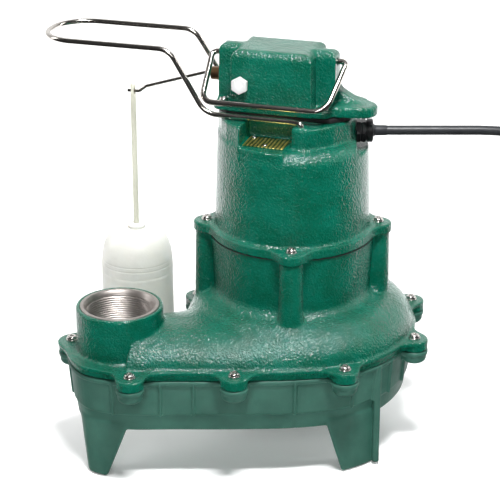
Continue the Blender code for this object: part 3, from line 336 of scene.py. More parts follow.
MATERIALS = {
    "casting": casting_finish(),
    "base_moulding": base_finish(),
    "gasket_rubber": plain_finish("black_rubber", (0.010, 0.010, 0.011), 0.65, 0.0010, 0.0002),
    "screw_steel": metal_finish("screw_steel", (0.72, 0.69, 0.66), 0.22),
    "machined_steel": metal_finish("machined_steel", (0.46, 0.42, 0.395), 0.40, (1.0, 1.0, 8.0)),
    "lamination_steel": lamination_finish(),
    "winding_copper": winding_finish(),
    "stainless_rod": metal_finish("stainless_rod", (0.70, 0.665, 0.62), 0.16, dull=0.08),
    "bright_plate": plain_finish("bright_plate", (0.88, 0.89, 0.89), 0.24, 0.0030, 0.00005, 1.04,
                                 Metallic=0.35),
    "bronze": metal_finish("bronze", (0.22, 0.13, 0.065), 0.36),
    "brass_plate": plate_finish(),
    "black_moulding": plain_finish("black_moulding", (0.013, 0.013, 0.015), 0.36, 0.0008, 0.0001),
    "cord_jacket": plain_finish("cord_jacket", (0.017, 0.019, 0.022), 0.42, 0.0012, 0.0001),
    "float_moulding": plain_finish("float_moulding", (0.66, 0.66, 0.615), 0.38, 0.0040, 0.0002, 1.06,
                                   Subsurface_Weight=0.25, Subsurface_Radius=(0.006, 0.005, 0.004),
                                   Subsurface_Scale=1.0),
    "rod_moulding": plain_finish("rod_moulding", (0.60, 0.60, 0.50), 0.42, 0.0040, 0.0002, 1.06),
}


# ---------------------------------------------------------------- pieces
def piece(name, data, slot, body, replaces=(), matrix=None):
    """Put a finished mesh or curve in the scene as a piece of the object."""
    data.name = name
    if matrix is not None:
        data.transform(matrix)
    data.materials.append(MATERIALS[slot])
    obj = bpy.data.objects.new(name, data)
    bpy.context.scene.collection.objects.link(obj)
    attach(obj, body)
    if replaces:
        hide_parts(*replaces)
    return obj


def smoothed(mesh, sharp=SMOOTH_ANGLE):
    mesh.shade_smooth()
    mesh.set_sharp_from_angle(angle=sharp)
    return mesh


def mesh_from(verts, faces, sharp=SMOOTH_ANGLE):
    mesh = bpy.data.meshes.new("mesh")
    mesh.from_pydata([tuple(v) for v in verts], [], faces)
    return smoothed(mesh, sharp)


def mesh_of(bm):
    """A new mesh from a bmesh, which is freed."""
    mesh = bpy.data.meshes.new("mesh")
    bm.to_mesh(mesh)
    bm.free()
    return mesh


def joined(meshes):
    bm = bmesh.new()
    for mesh in meshes:
        bm.from_mesh(mesh)
    return mesh_of(bm)


def turned(rings, segments=48, sharp=SMOOTH_ANGLE):
    """A solid from rings listed upwards: (radius, z), or (radius, z, 1) for a hexagon."""
    verts, faces = [], []
    for ring in rings:
        radius, z = ring[:2]
        hexagonal = ring[2] if len(ring) > 2 else 0.0
        for i in range(segments):
            angle = 2 * math.pi * i / segments
            flat = math.cos(math.radians(30)) / math.cos(
                (angle + math.radians(30)) % math.radians(60) - math.radians(30))
            reach = radius * (1 + (flat - 1) * hexagonal)
            verts.append((reach * math.cos(angle), reach * math.sin(angle), z))
    for r in range(len(rings) - 1):
        for i in range(segments):
            j = (i + 1) % segments
            a = r * segments
            faces.append((a + i, a + j, a + segments + j, a + segments + i))
    faces.append(tuple(range(segments))[::-1])
    faces.append(tuple(range((len(rings) - 1) * segments, len(rings) * segments)))
    return mesh_from(verts, faces, sharp)


def ring_solid(section, segments):
    """Turn a closed (radius, z) section into a ring."""
    count = len(section)
    verts = [(r * math.cos(2 * math.pi * i / segments), r * math.sin(2 * math.pi * i / segments), z)
             for i in range(segments) for r, z in section]
    faces = []
    for i in range(segments):
        j = (i + 1) % segments
        for k in range(count):
            m = (k + 1) % count
            faces.append((i * count + k, j * count + k, j * count + m, i * count + m))
    mesh = mesh_from(verts, faces)
    bm = bmesh.new()
    bm.from_mesh(mesh)
    bmesh.ops.recalc_face_normals(bm, faces=bm.faces)
    bm.to_mesh(mesh)
    bm.free()
    return mesh


def wire(path, radius, resolution=6):
    data = bpy.data.curves.new("wire", "CURVE")
    data.dimensions = "3D"
    data.bevel_depth = radius
    data.bevel_resolution = resolution
    data.use_fill_caps = True
    spline = data.splines.new("POLY")
    spline.points.add(len(path) - 1)
    for point, co in zip(spline.points, path):
        point.co = (*co, 1.0)
    spline.use_smooth = True
    return data


def bevelled_box(low, high, width):
    bm = bmesh.new()
    made = bmesh.ops.create_cube(bm, size=1.0)
    bmesh.ops.scale(bm, verts=made["verts"], vec=[b - a for a, b in zip(low, high)])
    bmesh.ops.translate(bm, verts=made["verts"], vec=[(a + b) / 2 for a, b in zip(low, high)])
    bmesh.ops.bevel(bm, geom=bm.edges[:], offset=width, segments=3, affect="EDGES", profile=0.5)
    return smoothed(mesh_of(bm))


def outline_solid(outline, low, high, bevel):
    """A flat outline given thickness, with its two rims bevelled."""
    bm = bmesh.new()
    bottom = bm.faces.new([bm.verts.new((x, y, low)) for x, y in outline])
    made = bmesh.ops.extrude_face_region(bm, geom=[bottom])
    bmesh.ops.translate(bm, verts=[v for v in made["geom"] if isinstance(v, bmesh.types.BMVert)],
                        vec=(0.0, 0.0, high - low))
    bmesh.ops.recalc_face_normals(bm, faces=bm.faces)
    rims = [e for e in bm.edges if abs(e.verts[0].co.z - e.verts[1].co.z) < 1e-7]
    bmesh.ops.bevel(bm, geom=rims, offset=bevel, segments=2, affect="EDGES", profile=0.5)
    return smoothed(mesh_of(bm))


def band(verts):
    """A closed band from four equal loops: outer and inner on one side, then on the other."""
    count = len(verts) // 4
    faces = []
    for i in range(count):
        j = (i + 1) % count
        faces += [(i, j, 2 * count + j, 2 * count + i),
                  (count + j, count + i, 3 * count + i, 3 * count + j),
                  (j, i, count + i, count + j),
                  (2 * count + i, 2 * count + j, 3 * count + j, 3 * count + i)]
    return mesh_from(verts, faces)


# ---------------------------------------------------------------- camera, light and floor
def make_camera():
    elevation, distance = math.radians(22.3), 1.690
    aim = SHAFT + Vector((-0.040, -0.016, 0.190))
    data = bpy.data.cameras.new("camera")
    data.lens, data.sensor_width = 129.6, 36.0
    camera = bpy.data.objects.new("camera", data)
    camera.location = aim + distance * Vector((0.0, -math.cos(elevation), math.sin(elevation)))
    camera.rotation_euler = (math.pi / 2 - elevation, 0.0, 0.0)
    bpy.context.scene.collection.objects.link(camera)
    bpy.context.scene.camera = camera


def make_light():
    """Soft boxes, and a world that is bright behind the pump and white to the camera."""
    scene = bpy.context.scene
    scene.view_settings.view_transform = "Standard"
    world = bpy.data.worlds.new("studio")
    scene.world = world
    world.use_nodes = True
    tree = world.node_tree
    background = tree.nodes["Background"]
    direction = tree.nodes.new("ShaderNodeTexCoord").outputs["Generated"]
    split = tree.nodes.new("ShaderNodeSeparateXYZ")
    tree.links.new(direction, split.inputs[0])
    ramp = tree.nodes.new("ShaderNodeMapRange")
    ramp.interpolation_type = "SMOOTHSTEP"
    for socket, number in (("From Min", 0.15), ("From Max", 0.92), ("To Min", 0.03),
                           ("To Max", 1.10)):
        ramp.inputs[socket].default_value = number
    tree.links.new(split.outputs["Y"], ramp.inputs["Value"])
    background.inputs["Color"].default_value = (1.0, 1.0, 1.0, 1.0)
    backdrop = tree.nodes.new("ShaderNodeMix")
    tree.links.new(tree.nodes.new("ShaderNodeLightPath").outputs["Is Camera Ray"],
                   backdrop.inputs["Factor"])
    tree.links.new(ramp.outputs[0], backdrop.inputs[2])
    backdrop.inputs[3].default_value = 1.1
    tree.links.new(backdrop.outputs[0], background.inputs["Strength"])
    for name, place, aim, size, power in (
            ("overhead", (0.12, -0.62, 1.60), (0.0, 0.0, 0.15), (0.36, 0.17), 36.0),
            ("left_box", (-1.70, 0.30, 0.90), (0.0, 0.0, 0.15), (0.4, 1.2), 7.0),
            ("right_box", (1.80, 0.30, 0.90), (0.0, 0.0, 0.15), (0.4, 1.2), 9.0),
            ("front_fill", (-0.30, -2.60, 1.70), (0.0, 0.0, 0.15), (0.8, 0.5), 14.0),
            ("back_sweep", (0.0, 2.2, 2.0), (0.0, 2.2, 0.0), (3.2, 1.6), 60.0)):
        data = bpy.data.lights.new(name, "AREA")
        data.shape, data.size, data.size_y, data.energy = "RECTANGLE", size[0], size[1], power
        light = bpy.data.objects.new(name, data)
        light.visible_glossy = name != "back_sweep"
        light.location = place
        light.rotation_euler = (Vector(aim) - Vector(place)).to_track_quat("-Z", "Y").to_euler()
        scene.collection.objects.link(light)


def make_floor():
    """A white sweep.  Only its far part shows in gloss, as in a dark studio."""
    finish = Finish("white_sweep", (0.93, 0.93, 0.93), 0.85, Specular_IOR_Level=0.1,
                    Emission_Color=(1.0, 1.0, 1.0, 1.0), Emission_Strength=0.16)
    for name, near, far, in_gloss in (("floor_front", -8.0, SWEEP_EDGE, False),
                                      ("floor_back", SWEEP_EDGE, 12.0, True)):
        bm = bmesh.new()
        bmesh.ops.create_grid(bm, x_segments=8, y_segments=8, size=1.0)
        bmesh.ops.scale(bm, verts=bm.verts[:], vec=(8.0, (far - near) / 2, 1.0))
        mesh = mesh_of(bm)
        mesh.materials.append(finish.material)
        floor = bpy.data.objects.new(name, mesh)
        floor.location = (0.0, (near + far) / 2, 0.0)
        floor.visible_glossy = in_gloss
        bpy.context.scene.collection.objects.link(floor)


# ---------------------------------------------------------------- cord
def coil_path():
    """Points of the wound length: a turn on top, then three layers of four rings each."""
    pitch, first = 0.0090, 0.0394
    radii = [first + pitch * k for k in range(4)]
    slots = ([(r, 0.0236) for r in radii] + [(r, 0.0147) for r in radii[::-1]]
             + [(r, 0.0058) for r in radii])
    # Where each ring gives way to the next, in turns.  The last rings change first, so
    # that every ring moves into a place that is already free.
    out, wide, change = 0.15, 0.30, 0.18
    low = (out, out + wide)
    low_change = (low[1], low[1] + change)
    middle = (low_change[1], low_change[1] + wide)
    top_change = (middle[1], middle[1] + change)
    top = (top_change[1], top_change[1] + wide)
    windows = [top] * 3 + [top_change] + [middle] * 3 + [low_change] + [low] * 3
    arrive, drop = top[1] - 1.0, 0.34
    # Degrees clockwise at turn 0 and where the cord comes down, and the turn that lies on top.
    zero, entry = 200.0, 38.8
    over_radius, over_z, over_sag = 0.0526, 0.0335, 0.0009
    exit_radius, exit_z = 0.0760, 0.0048
    turns = len(windows)
    first_turn, last_turn = -(zero - entry) / 360.0, turns + out
    points, per_turn = [], 28
    for step in range(int((last_turn - first_turn) * per_turn) + 1):
        turn = first_turn + step / per_turn
        radius, z = slots[0]
        if turn < arrive:
            share = (turn - arrive + drop) / drop
            radius = over_radius + (slots[0][0] - over_radius) * ease(share / 0.6)
            z = over_z - over_sag * ease((turn - first_turn) / 0.15)
            z += (slots[0][1] - (over_z - over_sag)) * ease((share - 0.4) / 0.6)
        for index, (start, end) in enumerate(windows):
            share = ease((turn - index - start) / (end - start))
            radius += (slots[index + 1][0] - slots[index][0]) * share
            z += (slots[index + 1][1] - slots[index][1]) * share
        share = ease((turn - turns) / out)
        radius += (exit_radius - slots[-1][0]) * share
        z += (exit_z - slots[-1][1]) * share
        angle = math.radians(-zero - 360.0 * turn)
        points.append(Vector((COIL_CENTRE[0] + radius * math.cos(angle),
                              COIL_CENTRE[1] + radius * math.sin(angle), z)))
    return points


def tail_path(start, heading):
    """From the coil to the back of the plug, leaving and arriving straight."""
    end, reach = PLUG_REAR + Vector((0.0004, 0.0, 0.0)), 0.040
    leave, arrive = heading.normalized() * reach, Vector((reach, 0.0, 0.0))
    path = []
    for step in range(1, 11):
        t = step / 10
        path.append(start * (2 * t ** 3 - 3 * t ** 2 + 1) + leave * (t ** 3 - 2 * t ** 2 + t)
                    + end * (3 * t ** 2 - 2 * t ** 3) + arrive * (t ** 3 - t ** 2))
    return path


def make_cord():
    coil = coil_path()
    tail = tail_path(coil[-1], coil[-1] - coil[-2])
    path = through(list(CORD_ROUTE) + coil + tail, 3)
    data = wire(path, CORD_RADIUS)
    cord = piece("power_cord_lead", data, "cord_jacket", "pump",
                 ("power_cord", "cord_tail", "cord_coil"))
    plug = make_plug()
    tie = make_tie()
    relief = make_relief()


def rounded_rectangle(low, high, radius, steps=6):
    outline = []
    for x, y, start in ((high[0], high[1], 0), (low[0], high[1], 90),
                        (low[0], low[1], 180), (high[0], low[1], 270)):
        centre = (x - radius if x == high[0] else x + radius,
                  y - radius if y == high[1] else y + radius)
        for step in range(steps + 1):
            angle = math.radians(start + 90 * step / steps)
            outline.append((centre[0] + radius * math.cos(angle),
                            centre[1] + radius * math.sin(angle)))
    return outline


def loft(rings):
    count = len(rings[0])
    verts = [v for ring in rings for v in ring]
    faces = [(r * count + i, r * count + (i + 1) % count, (r + 1) * count + (i + 1) % count,
              (r + 1) * count + i) for r in range(len(rings) - 1) for i in range(count)]
    faces += [tuple(range(count))[::-1], tuple(range((len(rings) - 1) * count, len(rings) * count))]
    return mesh_from(verts, faces)


def make_plug():
    """Moulded plug: a ribbed neck that widens to a flat face."""
    rings = []
    for along, half_z, half_y, radius in (
            (0.0003, 0.0060, 0.0060, 0.0045), (0.0010, 0.0068, 0.0068, 0.0050),
            (0.0040, 0.0073, 0.0073, 0.0052), (0.0046, 0.0066, 0.0066, 0.0048),
            (0.0060, 0.0066, 0.0066, 0.0048), (0.0066, 0.0077, 0.0077, 0.0054),
            (0.0096, 0.0081, 0.0080, 0.0056), (0.0102, 0.0074, 0.0073, 0.0052),
            (0.0116, 0.0075, 0.0074, 0.0052), (0.0122, 0.0088, 0.0086, 0.0058),
            (0.0200, 0.0112, 0.0105, 0.0064), (0.0290, 0.0124, 0.0122, 0.0068),
            (0.0345, 0.0129, 0.0137, 0.0070), (0.0368, 0.0130, 0.0140, 0.0070),
            (0.0377, 0.0127, 0.0137, 0.0068), (0.0380, 0.0120, 0.0130, 0.0064)):
        outline = rounded_rectangle((-half_z, -half_y), (half_z, half_y), radius)
        rings.append([(along, y, -z) for z, y in outline])
    return piece("plug_body", loft(rings), "black_moulding", "pump", ("cord_plug",),
                 Matrix.Translation(PLUG_REAR))


def make_tie():
    """Strap round one side of the coil, with its locking head."""
    low, high, skin = COIL_INNER - 0.0010, COIL_OUTER + 0.0019, 0.0009
    bottom, top = COIL_BOTTOM - GAP, COIL_TOP + 0.0104
    inner = rounded_rectangle((low, bottom), (high, top), 0.0036)
    outer = rounded_rectangle((low - skin, bottom - skin), (high + skin, top + skin), 0.0045)
    strap = band([(x, side, z) for side in (-0.0025, 0.0025) for loop in (outer, inner)
                  for x, z in loop])
    head = bevelled_box((high - 0.0010, -0.0040, 0.0120), (high + 0.0045, 0.0040, 0.0190), 0.0008)
    turn = Matrix.Translation((*COIL_CENTRE, 0.0)) @ Matrix.Rotation(math.radians(-150), 4, "Z")
    return piece("coil_tie", joined([strap, head]), "black_moulding", "pump",
                 ("cord_tie",), turn)


def make_relief():
    """Tapered sleeve where the cord leaves the gland nut."""
    section = [(CORD_RADIUS + 0.0001, 0.0163), (0.0062, 0.0163), (0.0058, 0.0167),
               (0.0051, 0.0176), (0.0049, 0.0190), (0.0047, 0.0285), (0.0045, 0.02895),
               (CORD_RADIUS + 0.00005, 0.02895)]
    place = IN_SHAFT @ Matrix.Translation(GLAND) @ Matrix.Rotation(math.pi / 2, 4, "Y")
    return piece("cord_relief", ring_solid(section, 64), "cord_jacket", "pump", ("strain_relief",),
                 place)


# ---------------------------------------------------------------- distance fields
class Grid:
    """Sample points over a box, with x, y and z ready to combine."""

    def __init__(self, low, high, step):
        self.low, self.step = np.array(low), step
        counts = np.ceil((np.array(high) - self.low) / step).astype(int) + 1
        axes = [(low[i] + step * np.arange(counts[i])).astype(np.float32) for i in range(3)]
        self.x, self.y, self.z = (axes[0][:, None, None], axes[1][None, :, None],
                                  axes[2][None, None, :])
        self.radius = np.hypot(self.x, self.y)

    def mesh(self, field):
        shape = np.broadcast_shapes(self.x.shape, self.y.shape, self.z.shape)
        samples = np.clip(np.broadcast_to(field, shape) / self.step, -3, 3).astype(np.float32)
        volume = openvdb.FloatGrid(3.0)
        volume.copyFromArray(np.ascontiguousarray(samples), tolerance=0.0)
        points, _, quads = volume.convertToPolygons(0.0, 0.0)
        mesh = bpy.data.meshes.new("mesh")
        mesh.vertices.add(len(points))
        mesh.vertices.foreach_set("co", (points * self.step + self.low).astype(np.float32).ravel())
        mesh.loops.add(len(quads) * 4)
        mesh.loops.foreach_set("vertex_index", quads[:, ::-1].astype(np.int32).ravel())
        mesh.polygons.add(len(quads))
        mesh.polygons.foreach_set("loop_start", np.arange(0, len(quads) * 4, 4, dtype=np.int32))
        mesh.update(calc_edges=True)
        mesh.validate()
        mesh.shade_smooth()
        return mesh


def union(first, second, fillet=0.0):
    """Two solids as one, with a fillet of about the given size."""
    if not fillet:
        return np.minimum(first, second)
    share = np.clip(0.5 + 0.5 * (second - first) / fillet, 0, 1)
    return second + (first - second) * share - fillet * share * (1 - share)


def overlap(first, second, rounding=0.0):
    return -union(-first, -second, rounding)


def minus(first, second, rounding=0.0):
    return overlap(first, -second, rounding)


def slab(across, along, rounding):
    """A flat shape given thickness, with rounded edges."""
    a, b = across + rounding, along + rounding
    return np.hypot(np.maximum(a, 0), np.maximum(b, 0)) + np.minimum(np.maximum(a, b), 0) - rounding


def between(value, low, high):
    return np.abs(value - (low + high) / 2) - (high - low) / 2


def disc(grid, centre, radius):
    return np.hypot(grid.x - centre[0], grid.y - centre[1]) - radius


def rectangle(grid, low, high, rounding=0.0):
    return slab(between(grid.x, low[0], high[0]), between(grid.y, low[1], high[1]), rounding)


def outline_distance(grid, outline):
    """Signed distance to a closed outline, negative inside."""
    x, y = grid.x, grid.y
    nearest = np.full(np.broadcast_shapes(x.shape, y.shape), 1.0, np.float32)
    inside = np.zeros(nearest.shape, bool)
    points = [(float(p[0]), float(p[1])) for p in outline]
    for (ax, ay), (bx, by) in zip(points, points[1:] + points[:1]):
        ex, ey = bx - ax, by - ay
        share = np.clip(((x - ax) * ex + (y - ay) * ey) / (ex * ex + ey * ey), 0, 1)
        nearest = np.minimum(nearest, (x - ax - ex * share) ** 2 + (y - ay - ey * share) ** 2)
        if ay != by:
            inside ^= ((ay > y) != (by > y)) & (x < ex * (y - ay) / ey + ax)
    return np.where(inside, -1, 1) * np.sqrt(nearest)


# ---------------------------------------------------------------- pump end
def flange_edge():
    lobe = [(LOBE_CENTRE[0] + LOBE_RADIUS * math.cos(math.radians(a)),
             LOBE_CENTRE[1] + LOBE_RADIUS * math.sin(math.radians(a)))
            for a in (90, 135, 180, 225, 270)]
    front = [(-0.106, -0.1220), (-0.054, -0.1220), (0.0, -0.1195)]
    volute = [(radius * math.cos(math.radians(a)), radius * math.sin(math.radians(a)))
              for a, radius in VOLUTE_EDGE]
    tongue = [(-0.089, 0.050), (-0.0985, 0.023), (-0.1045, -0.003), (-0.120, -0.0150)]
    return closed_curve(lobe + front + volute + tongue, 8)


def motor_bolts():
    return [(MOTOR_BOLT_RADIUS * math.cos(MOTOR_YAW + k * math.pi / 2),
             MOTOR_BOLT_RADIUS * math.sin(MOTOR_YAW + k * math.pi / 2)) for k in range(4)]


def eared_edge(grid, edge, fillet):
    """An outline joined to the ten ears."""
    shape = edge
    for centre in VOLUTE_SCREWS:
        shape = union(shape, disc(grid, centre, EAR_RADIUS), fillet)
    return shape


def volute_radius(grid):
    table = sorted((a % 360, r) for a, r in VOLUTE_EDGE + HIDDEN_EDGE)
    angles = np.degrees(np.arctan2(grid.y, grid.x)) % 360
    return np.interp(angles, [a for a, _ in table], [r for _, r in table], period=360)


def crown(grid, across, width, height):
    """A shape rising from the flange like a flattened dome; across is 1 at its edge."""
    up = np.maximum(grid.z - FLANGE_TOP, 0) / height
    reach = np.hypot(across, up) + 1e-6
    return (reach - 1) * reach / (np.hypot(across / width, up / height) + 1e-3)


def dome(grid, edge):
    """Upper half of the passage and the volute, as two crowned shapes run together."""
    land, width, boss_side, fade, start = 0.0040, 0.046, 0.152, 0.016, 0.074
    across = np.maximum(1 - (-edge - land) / width, 1 - (grid.x + boss_side) / fade)
    passage = crown(grid, np.maximum(across, 0), width, 0.0265)
    across = np.maximum((grid.radius - start) / (volute_radius(grid) - (start + land)), 0)
    volute = crown(grid, across, 0.040, 0.0325)
    return union(passage, volute, 0.007)


def make_pump_housing():
    grid = Grid((*PUMP_LOW, 0.1025), (*PUMP_HIGH, 0.2070), 0.0011)
    edge = outline_distance(grid, flange_edge())
    z = grid.z
    shell = dome(grid, edge)
    boss = slab(disc(grid, DISCHARGE, DISCHARGE_RADIUS), z - DISCHARGE_TOP, 0.0022)
    body = union(shell, boss, 0.004)
    radius = ADAPTER_WAIST + (ADAPTER_RADIUS - ADAPTER_WAIST) * np.clip(
        (z - VOLUTE_TOP) / (JOINT - VOLUTE_TOP), 0, 1)
    body = union(body, grid.radius - radius, 0.011)
    for centre in motor_bolts():
        post = overlap(disc(grid, centre, 0.0113 - 0.02 * (z - 0.17)), 0.126 - z)
        body = union(body, post, 0.0032)
    body = overlap(body, z - JOINT, 0.0012)
    plate = slab(eared_edge(grid, edge, 0.018), between(z, FLANGE_TOP - 0.0042, FLANGE_TOP), 0.0010)
    side = slab(eared_edge(grid, edge + 0.0026, 0.008), between(z, SEAM, FLANGE_TOP - 0.001), 0.0008)
    body = union(body, union(plate, side, 0.0010), 0.0035)
    body = overlap(body, SEAM - z)
    wall, joint_face, shaft_hole = 0.0075, 0.0110, 0.0130
    hollow = union(overlap(shell + wall, edge + joint_face), grid.radius - shaft_hole)
    # The motor's and the bearing's seats, the thread's and the way into it: (bore, floor).
    for bore, floor in ((grid.radius - MOTOR_BORE, 0.170), (grid.radius - 0.024, 0.1580),
                        (disc(grid, DISCHARGE, 0.0367), 0.1498),
                        (disc(grid, DISCHARGE, 0.0332), 0.1080)):
        hollow = union(hollow, overlap(bore, floor - z))
    piece("volute_casting", grid.mesh(minus(body, hollow)), "casting", "pump",
          ("pump_housing",), IN_SHAFT)


def make_thread():
    """Machined rim and 2 in pipe thread inside the discharge boss."""
    segments, pitch, crest, depth = 192, INCH / THREADS_PER_INCH, 0.0296, 0.0014
    bottom = 0.1240
    rows = [(None, z) for z in np.arange(bottom, 0.15385, 0.00025)]
    rows += [(0.0312, 0.1549), (0.0330, 0.1566), (0.0333, DISCHARGE_TOP + 0.00005),
             (0.0348, DISCHARGE_TOP + 0.00010), (0.0363, DISCHARGE_TOP + 0.00005),
             (0.0366, DISCHARGE_TOP - 0.0004), (0.0366, 0.1500), (0.0331, 0.1498), (0.0331, bottom)]
    verts, faces = [], []
    for radius, z in rows:
        for i in range(segments):
            angle = 2 * math.pi * i / segments
            if radius is None:
                wave = abs(((z / pitch - i / segments) % 1.0) * 2 - 1)
                flare = max(0.0, z - 0.1515) * 0.55
                reach = max(crest + depth * (1 - wave), crest + flare)
            else:
                reach = radius
            verts.append((reach * math.cos(angle), reach * math.sin(angle), z))
    count = len(rows)
    for r in range(count):
        a, b = r * segments, ((r + 1) % count) * segments
        for i in range(segments):
            j = (i + 1) % segments
            faces.append((a + j, a + i, b + i, b + j))
    piece("discharge_thread", mesh_from(verts, faces), "machined_steel", "pump", (),
          IN_SHAFT @ Matrix.Translation((*DISCHARGE, 0.0)))


def leg(grid, top_low, top_high, foot_low, foot_high):
    share = np.clip(grid.z / LEG_TOP, 0, 1)
    low = [foot_low[i] + (top_low[i] - foot_low[i]) * share for i in range(2)]
    high = [foot_high[i] + (top_high[i] - foot_high[i]) * share for i in range(2)]
    shape = rectangle(grid, low, high, 0.004)
    return slab(shape, between(grid.z, 0.0, LEG_TOP), 0.0030)


def make_base():
    grid = Grid((*PUMP_LOW, -0.0020), (*PUMP_HIGH, 0.1060), 0.0010)
    outline = flange_edge()
    edge = outline_distance(grid, outline)
    z = grid.z
    top = FLANGE_BOTTOM - GASKET - 2 * GAP
    lower = edge + np.interp(z, (BASE_BOTTOM, BASE_SKIRT), (0.0100, 0.0072))
    upper = edge + np.interp(z, (BASE_SKIRT, top), (0.0058, 0.0030))
    body = slab(lower, BASE_BOTTOM - z, 0.0030)
    body = overlap(body, z - BASE_SKIRT - 0.002)
    body = union(body, slab(upper, BASE_SKIRT - z, 0.0010), 0.0008)
    ribs = outline_ribs(outline, (-0.1665, -0.1215, -0.0915, 0.0014, 0.0560, 0.0775, 0.0938))
    for x, y, nx, ny in ribs:
        along = (grid.x - x) * -ny + (grid.y - y) * nx
        out = (grid.x - x) * nx + (grid.y - y) * ny
        rib = overlap(np.abs(along) - 0.0013, np.abs(out) - 0.012)
        rib = overlap(rib, upper - 0.0021)
        body = union(body, overlap(rib, BASE_SKIRT - 0.0005 - z), 0.0008)
    rim = slab(eared_edge(grid, edge + 0.0018, 0.008), between(z, 0.0995, top + 0.01), 0.0010)
    body = union(body, rim, 0.0015)
    for centre in VOLUTE_SCREWS:
        lug = slab(disc(grid, centre, EAR_RADIUS - 0.0006 - 0.05 * np.clip(0.104 - z, 0, 1)),
                   0.0912 - z, 0.0040)
        body = union(body, lug, 0.0025)
    legs = reduce(union, [leg(grid, *corners) for corners in LEGS])
    legs = overlap(legs, edge + 0.0076, 0.005)
    body = union(body, legs, 0.0010)
    strip = slab(rectangle(grid, (0.0748, -0.0865), (0.0813, -0.0720), 0.0018),
                 between(z, 0.002, 0.103), 0.0025)
    body = union(body, strip, 0.0015)
    body = overlap(body, z - top, 0.0008)
    hollow = overlap(edge + 0.0150, BASE_BOTTOM + 0.0060 - z, 0.004)
    body = minus(body, hollow, 0.001)
    inlet = overlap(grid.radius - 0.029, z - 0.080)
    body = overlap(minus(body, inlet, 0.002), -z)
    piece("pump_legs_and_bowl", grid.mesh(body), "base_moulding", "pump", ("pump_base",), IN_SHAFT)


def outline_ribs(outline, front_places):
    """Places and outward directions of the wall's upright ribs."""
    ribs = []
    count = len(outline)
    spaced = {round(k * count / 22) % count for k in range(22)}
    for index, point in enumerate(outline):
        ahead = outline[(index + 1) % count] - outline[index - 1]
        normal = (ahead.y, -ahead.x)
        length = math.hypot(*normal)
        normal = (normal[0] / length, normal[1] / length)
        following = outline[(index + 1) % count]
        if point.y < -0.06 and normal[1] < -0.5:
            crossed = [f for f in front_places if point.x <= f < following.x]
            if crossed:
                share = (crossed[0] - point.x) / (following.x - point.x)
                ribs.append((crossed[0], point.y + share * (following.y - point.y), *normal))
        elif index in spaced:
            ribs.append((point.x, point.y, *normal))
    return ribs


# ---------------------------------------------------------------- motor
def in_case(grid):
    """The grid's points along the case's own axes."""
    c, s = math.cos(CASE_YAW), math.sin(CASE_YAW)
    return SimpleNamespace(x=grid.x * c + grid.y * s, y=grid.y * c - grid.x * s, z=grid.z)


def pad_outline():
    return ((0.057, -0.012), (0.057, 0.022), (0.045, 0.030), (-0.058, 0.030), (-0.0685, 0.018),
            (-0.0685, -0.012), (-0.058, -0.036), (-0.050, -0.047), (-0.034, -0.060),
            (-0.034, -0.0275), (0.0120, -0.0275), (0.0120, -0.0500), (0.0270, -0.0500),
            (0.0460, -0.0310))


def make_motor_housing():
    grid = Grid((-0.0950, -0.0950, 0.2030), (0.0950, 0.0950, 0.3230), 0.0009)
    case = in_case(grid)
    z = grid.z
    low, pad_low = JOINT + 0.0005, 0.290
    rim = grid.radius - MOTOR_FLANGE_RADIUS
    for centre in motor_bolts():
        rim = union(rim, disc(grid, centre, EAR_RADIUS), 0.014)
    flange = slab(rim, between(z, low, MOTOR_FLANGE_TOP), 0.0016)
    wall = grid.radius - (MOTOR_RADIUS_BOTTOM + (MOTOR_RADIUS_TOP - MOTOR_RADIUS_BOTTOM)
                          * (z - MOTOR_FLANGE_TOP) / (LEDGE_TOP - MOTOR_FLANGE_TOP))
    sharp = overlap(slab(wall, z - LEDGE_TOP, 0.0022), case.x - 0.0093, 0.002)
    soft = slab(wall, z - LEDGE_TOP + 0.0012, 0.0125)
    body = union(union(sharp, soft, 0.0015), flange, 0.0040)
    pad = slab(outline_distance(case, pad_outline()), between(z, pad_low, PAD_TOP), 0.0022)
    body = union(body, pad, 0.0035)
    for centre in ((0.0195, -0.0440), (0.0195, 0.0440)):
        post = slab(disc(case, centre, 0.0065), between(z, pad_low, PAD_TOP), 0.0025)
        body = union(body, post, 0.0040)
    room = overlap(GLAND.x - grid.x, SIDE_LEDGE_TOP - z, 0.003)
    body = minus(body, room, 0.002)
    motor_room = overlap(grid.radius - MOTOR_BORE, z - 0.2900)
    bearing_seat = overlap(grid.radius - 0.0153, z - 0.2960)
    body = minus(body, union(motor_room, bearing_seat))
    piece("motor_casting", grid.mesh(body), "casting", "pump", ("motor_housing",), IN_SHAFT)


# ---------------------------------------------------------------- switch case
def case_plan():
    quarter = [(CASE_HALF, -END_DEPTH), (CASE_HALF, END_DEPTH), (NOTCH_X, END_DEPTH),
               (NOTCH_X, CASE_DEPTH)]
    half = quarter + [(-x, y) for x, y in quarter[::-1]]
    corners = half + [(-x, -y) for x, y in half if (-x, -y) not in half]
    return [(CASE_MIDDLE + x, y) for x, y in corners]


def wing_outline():
    end = [(0.0660 + 0.0140 * math.cos(math.radians(angle)),
            -0.0050 + 0.0140 * math.sin(math.radians(angle))) for angle in range(-90, 61, 15)]
    return [(WING_START, -0.024)] + end + [(0.046, 0.029), (WING_START, 0.029)]


